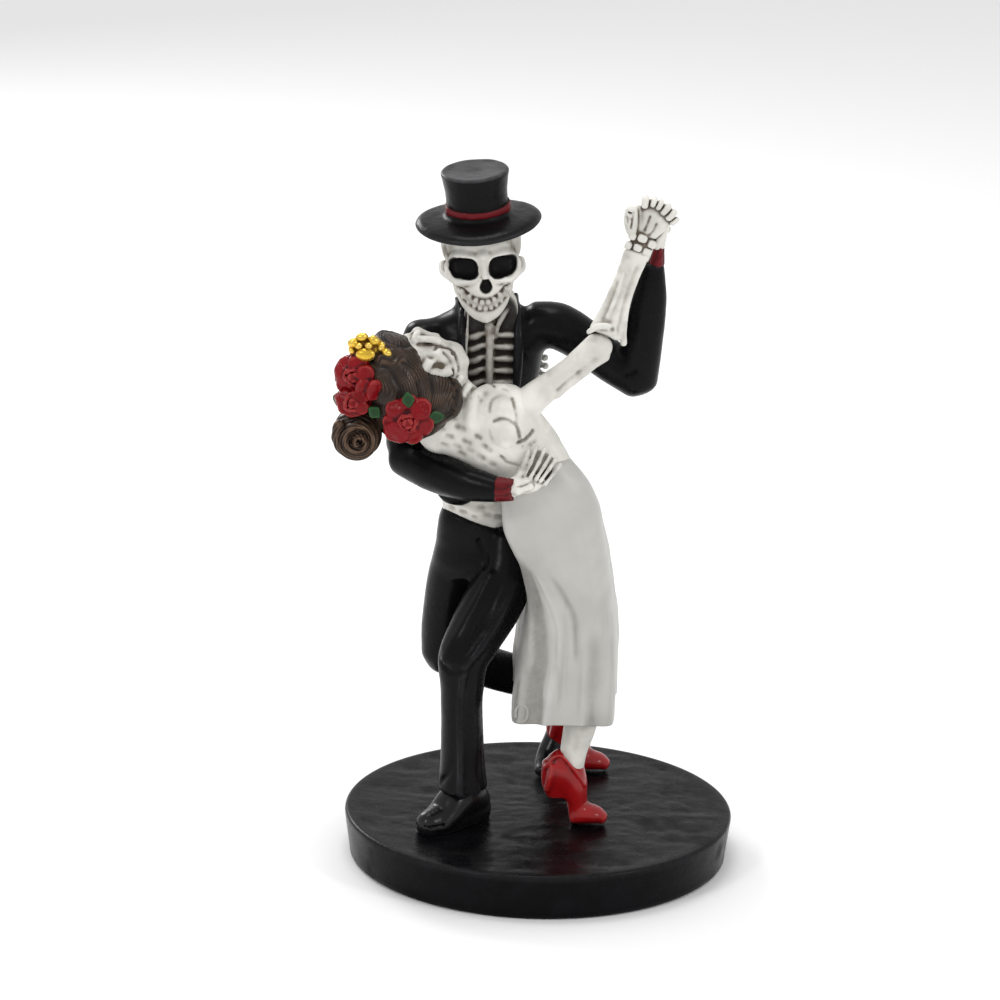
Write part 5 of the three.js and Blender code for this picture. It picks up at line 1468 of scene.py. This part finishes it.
ROSES = [
    # petals of each blossom: x, z, half width, half height; then the place that they lie round, the half
    # height of the lump behind them, and how far they come forward for each millimetre to the right
    ([(-50.8, 146.4, 2.6, 2.1), (-54.0, 144.2, 2.2, 2.6), (-54.2, 140.8, 2.1, 2.4), (-48.8, 144.0, 2.2, 2.5),
      (-46.4, 140.2, 2.1, 2.8), (-48.9, 141.0, 2.3, 2.2), (-51.4, 141.2, 2.4, 1.8)],
     (-51.9, -27.6, 143.4), 5.2, 0.75),
    ([(-53.4, 137.2, 2.2, 2.3), (-50.4, 137.6, 2.4, 2.2), (-54.0, 135.0, 1.7, 1.8), (-51.8, 134.2, 2.8, 1.6),
      (-49.6, 135.4, 1.7, 1.8)],
     (-51.8, -28.6, 136.6), 3.2, 0.5),
    ([(-40.1, 135.6, 2.9, 2.6), (-36.8, 137.4, 2.5, 1.9), (-33.8, 136.0, 2.7, 2.8), (-33.0, 131.6, 2.6, 2.9),
      (-35.6, 129.0, 2.4, 2.5), (-40.0, 129.6, 3.4, 2.9), (-41.6, 132.2, 2.0, 2.0)],
     (-37.0, -33.0, 132.6), 5.2, 0.0),
]


def make_roses():
    """Blossoms of overlapping round petals.

    Each petal leans out from the middle and has a raised outer rim.  Curled petals ring the bud, and the
    whole is slightly crumpled.  The two left blossoms tilt, to follow the head.
    """
    made = []
    for number, (petals, middle, backing, tilt) in enumerate(ROSES):
        middle = np.asarray(middle, float)
        clay = Clay(middle - 10.0, middle + 10.0, 0.26)
        clay.lump(middle + (0, 2.6, 0), (5.4, 3.8, backing), soft=0.3)
        for rank, (x, z, wide, tall) in enumerate(petals):
            wide, tall = 1.1 * wide, 1.1 * tall
            away = np.array((x - middle[0], 0.0, z - middle[2]))
            through = unit(np.array((0.0, -1.0, 0.0)) + 0.12 * away)
            along = unit(np.cross((0.0, 0.0, 1.0), through))
            axes = [along, through, np.cross(through, along)]
            depth = middle[1] + 0.07 * np.hypot(away[0], away[2]) ** 1.7 - 0.5 * (rank % 3 - 1)
            centre = np.array((x, depth - tilt * away[0], z))
            clay.lump(centre, (wide, 1.5, tall), soft=0.06, power=2.3, axes=axes)
            across, up = along * wide * 0.72, axes[2] * tall * 0.72
            rim = [centre + through + across * math.cos(a) + up * math.sin(a)
                   for a in math.atan2(away[2], away[0]) + np.linspace(-1.2, 1.2, 6)]
            clay.tube(rim, [0.3, 0.45, 0.5, 0.5, 0.45, 0.3], soft=0.35, smooth=False)
        clay.lump(middle + (0, -1.0, 0), (1.5, 1.4, 1.4), soft=0.1)
        for ring, reach in enumerate((1.0, 1.9, 2.5)):
            for k in range(3):
                start = 2.1 * k + 1.0 * ring + number
                arc = [middle + (reach * math.cos(a), -2.2 + 0.5 * ring, reach * math.sin(a))
                       for a in np.linspace(start, start + 1.7, 6)]
                clay.tube(arc, [0.25, 0.42, 0.5, 0.5, 0.42, 0.25], soft=0.08, smooth=False)
        made.append(clay.form(fine=0.4, broad=1.2, relax=1).roughened(0.22, 1.7, 171 + number))
    return shown(made[0].joined(*made[1:]), "bride_roses", "rose_red")


LEAVES = [
    ((-36.8, -33.6, 136.8), (-37.4, -33.6, 140.8)), ((-32.0, -32.2, 133.4), (-27.6, -30.0, 133.6)),
    ((-47.4, -30.4, 135.4), (-44.6, -30.6, 133.0)), ((-55.2, -25.8, 138.4), (-56.4, -24.8, 134.4)),
    ((-37.0, -31.0, 127.6), (-34.0, -29.6, 126.6)),
]


def make_leaves():
    """Leaves: a pointed oval, thick at the middle, with a sunken midrib and paired side veins."""
    clay = Clay((-60, -36, 122), (-24, -21, 144.5), 0.24)
    for start, end in LEAVES:
        start, end = np.asarray(start), np.asarray(end)
        span = end - start
        side = unit(np.cross(span, (0.0, -1.0, 0.0)))
        rows = [[*(start + span * t), wide, 0.55] for t, wide in
                ((0.0, 0.5), (0.3, 1.5), (0.55, 1.75), (0.8, 1.1), (1.0, 0.25))]
        clay.skin(rows, side, soft=0.1, dome=0.5)
        front = np.array((0.0, -0.75, 0.0))
        clay.tube([start + front, start + span * 0.5 + front, end + front], 0.22, soft=0.25, cut=True)
        for share in (0.3, 0.5, 0.7):
            for sign in (-1, 1):
                root = start + span * share + front
                tip = root + side * sign * 1.2 + span * 0.16 - front * 0.2
                clay.tube([root, tip], 0.13, soft=0.2, cut=True)
    return shown(clay.form(fine=0.4, broad=1.0, relax=1), "bride_leaves", "leaf_green")


def make_gold_flower():
    """A gold blossom: round petals laid over one another about a small bud."""
    clay = Clay((-58, -32, 141), (-38, -18, 157), 0.22)
    petals = [
        # x, y, z, half width, half height, turn in radians
        (-48.8, -27.8, 149.2, 2.6, 1.8, 0.0), (-52.2, -26.4, 152.0, 1.5, 1.3, 0.5),
        (-49.8, -26.2, 153.6, 1.7, 1.2, 0.2), (-46.6, -26.6, 152.9, 1.7, 1.3, -0.5),
        (-44.6, -26.6, 151.2, 1.0, 1.3, -0.2), (-43.2, -26.6, 149.6, 1.5, 1.1, -0.6),
        (-52.4, -26.0, 149.8, 1.0, 1.2, 0.3), (-48.0, -27.4, 151.6, 1.1, 1.0, 0.0),
        (-50.6, -27.2, 151.4, 1.1, 0.9, 0.4), (-43.6, -26.0, 148.0, 0.9, 0.8, 0.0),
    ]
    for x, y, z, wide, tall, turn in petals:
        axes = [(math.cos(turn), 0, math.sin(turn)), (0, 1, 0), (-math.sin(turn), 0, math.cos(turn))]
        clay.lump((x, y, z), (wide, 1.3, tall), soft=0.08, axes=axes)
    clay.lump((-48.2, -25.2, 150.8), (4.6, 1.9, 2.6), soft=0.3)
    form = clay.form(fine=0.45, broad=1.3, relax=1).roughened(0.10, 1.3, 176)
    return shown(form, "bride_gold_flower", "gold")


def make_groom_palm():
    """The groom's raised hand: the palm and the fingertips that close round hers from behind."""
    clay = Clay((20, -16, 168), (36, 2, 192), 0.26)
    palm = [[28.4, -5.0, 172.6, 1.1, 1.2], [28.4, -4.8, 178.6, 2.2, 2.0], [28.8, -4.4, 185.0, 3.3, 1.9]]
    clay.skin(palm, ACROSS)
    chains = [[(25.8 + 1.6 * k, -3.4, 181.8 - 0.7 * k), (25.8 + 1.5 * k, -3.6, 184.8 - 0.9 * k),
               (25.8 + 1.4 * k, -7.0, 186.0 - 1.0 * k)] for k in range(4)]
    fingers(clay, chains, 0.95)
    return shown(clay.form(fine=0.5, broad=1.4).roughened(0.05, 2.0, 181), "groom_raised_palm")


# The stage

CAMERA = dict(
    # The photograph's own view: place in metres, turns in radians, lens in millimetres on a 36 mm sensor.
    place=(0.0, -1.1, 0.425147), yaw=-0.011485466, pitch=-0.285715889, roll=0.023143916, lens=150.606,
)
LIGHTS = [
    # name, place, aim, size, power
    ("key_softbox", (-0.80, -0.85, 0.95), (0.0, 0.0, 0.09), 0.24, 2.6),
    ("fill_softbox", (0.95, -0.60, 0.80), (0.0, 0.0, 0.10), 0.22, 2.6),
    ("top_softbox", (-0.1, 0.15, 1.15), (0.0, 0.0, 0.08), 0.50, 3.4),
    ("back_softbox", (-0.55, 0.85, 0.55), (0.0, 0.0, 0.12), 0.40, 3.4),
]


def looking(place, aim):
    """The turn that points an object's -Z from place at aim, with its Y upward."""
    return (Vector(aim) - Vector(place)).to_track_quat("-Z", "Y").to_matrix().to_4x4()


def make_floor(half_width):
    """A pale sheet under the plinth that rises behind it in one wide curve."""
    rows, columns = 60, 8
    flat_share, bend_share, bend, wall = 0.55, 0.25, 0.9, 6.0
    along = np.linspace(0, 1, rows)
    turn = np.clip((along - flat_share) / bend_share, 0, 1) * np.pi / 2
    depth = -half_width + 2.0 * half_width * np.minimum(along / flat_share, 1.0) + bend * np.sin(turn)
    height = bend * (1 - np.cos(turn)) + np.maximum(along - flat_share - bend_share, 0) * wall
    x, y = np.meshgrid(np.linspace(-half_width, half_width, columns), depth)
    points = np.stack([x, y, np.repeat(height[:, None], columns, 1)], -1).reshape(-1, 3)
    quads = faces_between(np.arange(rows * columns).reshape(rows, columns))
    mesh = bpy.data.meshes.new("studio_floor")
    mesh.from_pydata(points.tolist(), [], quads.tolist())
    mesh.polygons.foreach_set("use_smooth", np.ones(len(quads), bool))
    paint = Paint("studio_paper")
    paint.set(Base_Color=(0.985, 0.985, 0.985, 1.0), Roughness=0.9, Specular_IOR_Level=0.1)
    mesh.materials.append(paint.material)
    floor = bpy.data.objects.new("studio_floor", mesh)
    bpy.context.scene.collection.objects.link(floor)


def make_lights(brightness):
    """Four round soft boxes and an even white sky, all scaled by one brightness."""
    for name, place, aim, size, power in LIGHTS:
        lamp = bpy.data.lights.new(name, "AREA")
        lamp.shape = "DISK"
        lamp.size = size
        lamp.energy = power * brightness
        holder = bpy.data.objects.new(name, lamp)
        holder.matrix_world = Matrix.Translation(place) @ looking(place, aim)
        bpy.context.scene.collection.objects.link(holder)
    world = bpy.data.worlds.new("studio_air")
    world.use_nodes = True
    sky = world.node_tree.nodes["Background"]
    sky.inputs["Color"].default_value = (1.0, 1.0, 1.0, 1.0)
    sky.inputs["Strength"].default_value = 0.72 * brightness
    bpy.context.scene.world = world
    bpy.context.scene.view_settings.view_transform = "Standard"


def make_camera():
    """The camera: ahead, right and up come from its yaw and pitch, and roll turns the last two."""
    yaw, pitch, roll = (CAMERA[name] for name in ("yaw", "pitch", "roll"))
    ahead = np.array((math.sin(yaw) * math.cos(pitch), math.cos(yaw) * math.cos(pitch), math.sin(pitch)))
    right = np.array((math.cos(yaw), -math.sin(yaw), 0.0))
    up = np.cross(right, ahead)
    turned_right = right * math.cos(roll) + up * math.sin(roll)
    turned_up = up * math.cos(roll) - right * math.sin(roll)
    turn = Matrix([turned_right, turned_up, -ahead]).transposed().to_4x4()
    lens = bpy.data.cameras.new("studio_camera")
    lens.lens = CAMERA["lens"]
    lens.sensor_width = 36.0
    holder = bpy.data.objects.new("studio_camera", lens)
    holder.matrix_world = Matrix.Translation(CAMERA["place"]) @ turn
    bpy.context.scene.collection.objects.link(holder)
    bpy.context.scene.camera = holder


# The add-on

def colour_property(name, finish_name, about):
    return FloatVectorProperty(name=name, description=about, default=FINISHES[finish_name]["colour"],
                               subtype="COLOR", size=3, min=0.0, max=1.0)


def size_property(name, default, about):
    return FloatProperty(name=name, description=about, default=default * MM, unit="LENGTH",
                         subtype="DISTANCE", min=0.0)


class FigurinePlinthSettings(bpy.types.PropertyGroup):
    """Sizes of the plinth."""

    top_radius: size_property("Top radius", 54.0, "Radius of the plinth at its rim")
    foot_radius: size_property("Foot radius", 52.6, "Radius of the plinth at its underside")
    height: size_property("Height", 13.0, "Height of the plinth")


class FigurineFigureSettings(bpy.types.PropertyGroup):
    """Sizes and colours of the two figures."""

    brim_radius: size_property("Brim radius", 17.0, "Radius of the hat's brim")
    crown_height: size_property("Crown height", 12.9, "Height of the hat's crown")
    bone: colour_property("Bone", "bone", "Colour of both skeletons")
    suit: colour_property("Suit", "black_cloth", "Colour of the groom's suit")
    dress: colour_property("Dress", "dress_white", "Colour of the bride's dress")
    rose: colour_property("Roses", "rose_red", "Colour of the roses")
    shoe: colour_property("Slippers", "shoe_red", "Colour of the bride's shoes")
    hair: colour_property("Hair", "hair_brown", "Colour of the bride's hair")


class FigurineStageSettings(bpy.types.PropertyGroup):
    """The floor and the studio light."""

    floor_reach: FloatProperty(name="Floor reach", description="Half the width of the floor",
                               default=3.0, unit="LENGTH", subtype="DISTANCE", min=0.5)
    brightness: FloatProperty(name="Brightness", description="Strength of all the studio light",
                              default=1.0, min=0.0, subtype="FACTOR")


class FIGURINE_OT_plinth(bpy.types.Operator):
    """Build the round plinth"""

    bl_idname = "figurine.plinth"
    bl_label = "Plinth"

    def execute(self, context):
        settings = context.scene.figurine_plinth
        make_plinth(settings.top_radius / MM, settings.foot_radius / MM, settings.height / MM)
        return {"FINISHED"}


class FIGURINE_OT_groom_suit(bpy.types.Operator):
    """Build the groom's jacket, cuffs, trousers, shoes and hat"""

    bl_idname = "figurine.groom_suit"
    bl_label = "Groom's suit"

    def execute(self, context):
        settings = context.scene.figurine_figures
        FINISHES["black_cloth"]["colour"] = tuple(settings.suit)
        make_jacket()
        make_cuffs()
        make_trousers()
        make_black_shoes(context.scene.figurine_plinth.height / MM)
        make_hat(settings.brim_radius / MM, settings.crown_height / MM)
        make_hat_band()
        return {"FINISHED"}


class FIGURINE_OT_groom_bones(bpy.types.Operator):
    """Build the groom's skull, chest, hip bone and hands"""

    bl_idname = "figurine.groom_bones"
    bl_label = "Groom's bones"

    def execute(self, context):
        FINISHES["bone"]["colour"] = tuple(context.scene.figurine_figures.bone)
        make_groom_skull()
        make_chest()
        make_pelvis()
        make_embracing_hand()
        make_groom_palm()
        return {"FINISHED"}


class FIGURINE_OT_bride_bones(bpy.types.Operator):
    """Build the bride's torso, skull, arms, hands and shins"""

    bl_idname = "figurine.bride_bones"
    bl_label = "Bride's bones"

    def execute(self, context):
        FINISHES["bone"]["colour"] = tuple(context.scene.figurine_figures.bone)
        make_bride_torso()
        make_bride_arm()
        make_clasped_hands()
        make_bride_back_arm()
        make_bride_skull()
        make_shins()
        return {"FINISHED"}


class FIGURINE_OT_bride_dress(bpy.types.Operator):
    """Build the bride's dress and shoes"""

    bl_idname = "figurine.bride_dress"
    bl_label = "Bride's dress and shoes"

    def execute(self, context):
        settings = context.scene.figurine_figures
        FINISHES["dress_white"]["colour"] = tuple(settings.dress)
        FINISHES["shoe_red"]["colour"] = tuple(settings.shoe)
        make_dress()
        make_red_shoes(context.scene.figurine_plinth.height / MM)
        return {"FINISHED"}


class FIGURINE_OT_bride_hair(bpy.types.Operator):
    """Build the bride's hair with its knot, roses, leaves and gold blossom"""

    bl_idname = "figurine.bride_hair"
    bl_label = "Bride's hair and flowers"

    def execute(self, context):
        settings = context.scene.figurine_figures
        FINISHES["hair_brown"]["colour"] = tuple(settings.hair)
        FINISHES["rose_red"]["colour"] = tuple(settings.rose)
        make_hair()
        make_bun()
        make_roses()
        make_leaves()
        make_gold_flower()
        return {"FINISHED"}


class FIGURINE_OT_stage(bpy.types.Operator):
    """Build the floor, the studio lights and the camera"""

    bl_idname = "figurine.stage"
    bl_label = "Stage"

    def execute(self, context):
        settings = context.scene.figurine_stage
        make_floor(settings.floor_reach)
        make_lights(settings.brightness)
        make_camera()
        return {"FINISHED"}


OPERATORS = (FIGURINE_OT_plinth, FIGURINE_OT_groom_suit, FIGURINE_OT_groom_bones, FIGURINE_OT_bride_bones,
             FIGURINE_OT_bride_dress, FIGURINE_OT_bride_hair, FIGURINE_OT_stage)
SETTINGS = dict(figurine_plinth=FigurinePlinthSettings, figurine_figures=FigurineFigureSettings,
                figurine_stage=FigurineStageSettings)


class FIGURINE_PT_sidebar(bpy.types.Panel):
    """Lists the settings and the pieces of the figurine"""

    bl_label = "Figurine"
    bl_idname = "FIGURINE_PT_sidebar"
    bl_space_type = "VIEW_3D"
    bl_region_type = "UI"
    bl_category = "Figurine"

    def draw(self, context):
        for group in SETTINGS:
            box = self.layout.box()
            settings = getattr(context.scene, group)
            for name in settings.__annotations__:
                box.prop(settings, name)
        for operator in OPERATORS:
            self.layout.operator(operator.bl_idname)


CLASSES = (*SETTINGS.values(), *OPERATORS, FIGURINE_PT_sidebar)


def register():
    """Registers every class and hangs the settings on the scene."""
    for kind in CLASSES:
        bpy.utils.register_class(kind)
    for name, kind in SETTINGS.items():
        setattr(bpy.types.Scene, name, PointerProperty(type=kind))


def unregister():
    """Takes back what register did, in the opposite order."""
    for name in SETTINGS:
        delattr(bpy.types.Scene, name)
    for kind in reversed(CLASSES):
        bpy.utils.unregister_class(kind)


def main():
    """Registers the add-on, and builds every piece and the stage."""
    register()
    bpy.ops.figurine.plinth()
    bpy.ops.figurine.groom_suit()
    bpy.ops.figurine.groom_bones()
    bpy.ops.figurine.bride_bones()
    bpy.ops.figurine.bride_dress()
    bpy.ops.figurine.bride_hair()
    bpy.ops.figurine.stage()


if __name__ == "__main__":
    main()
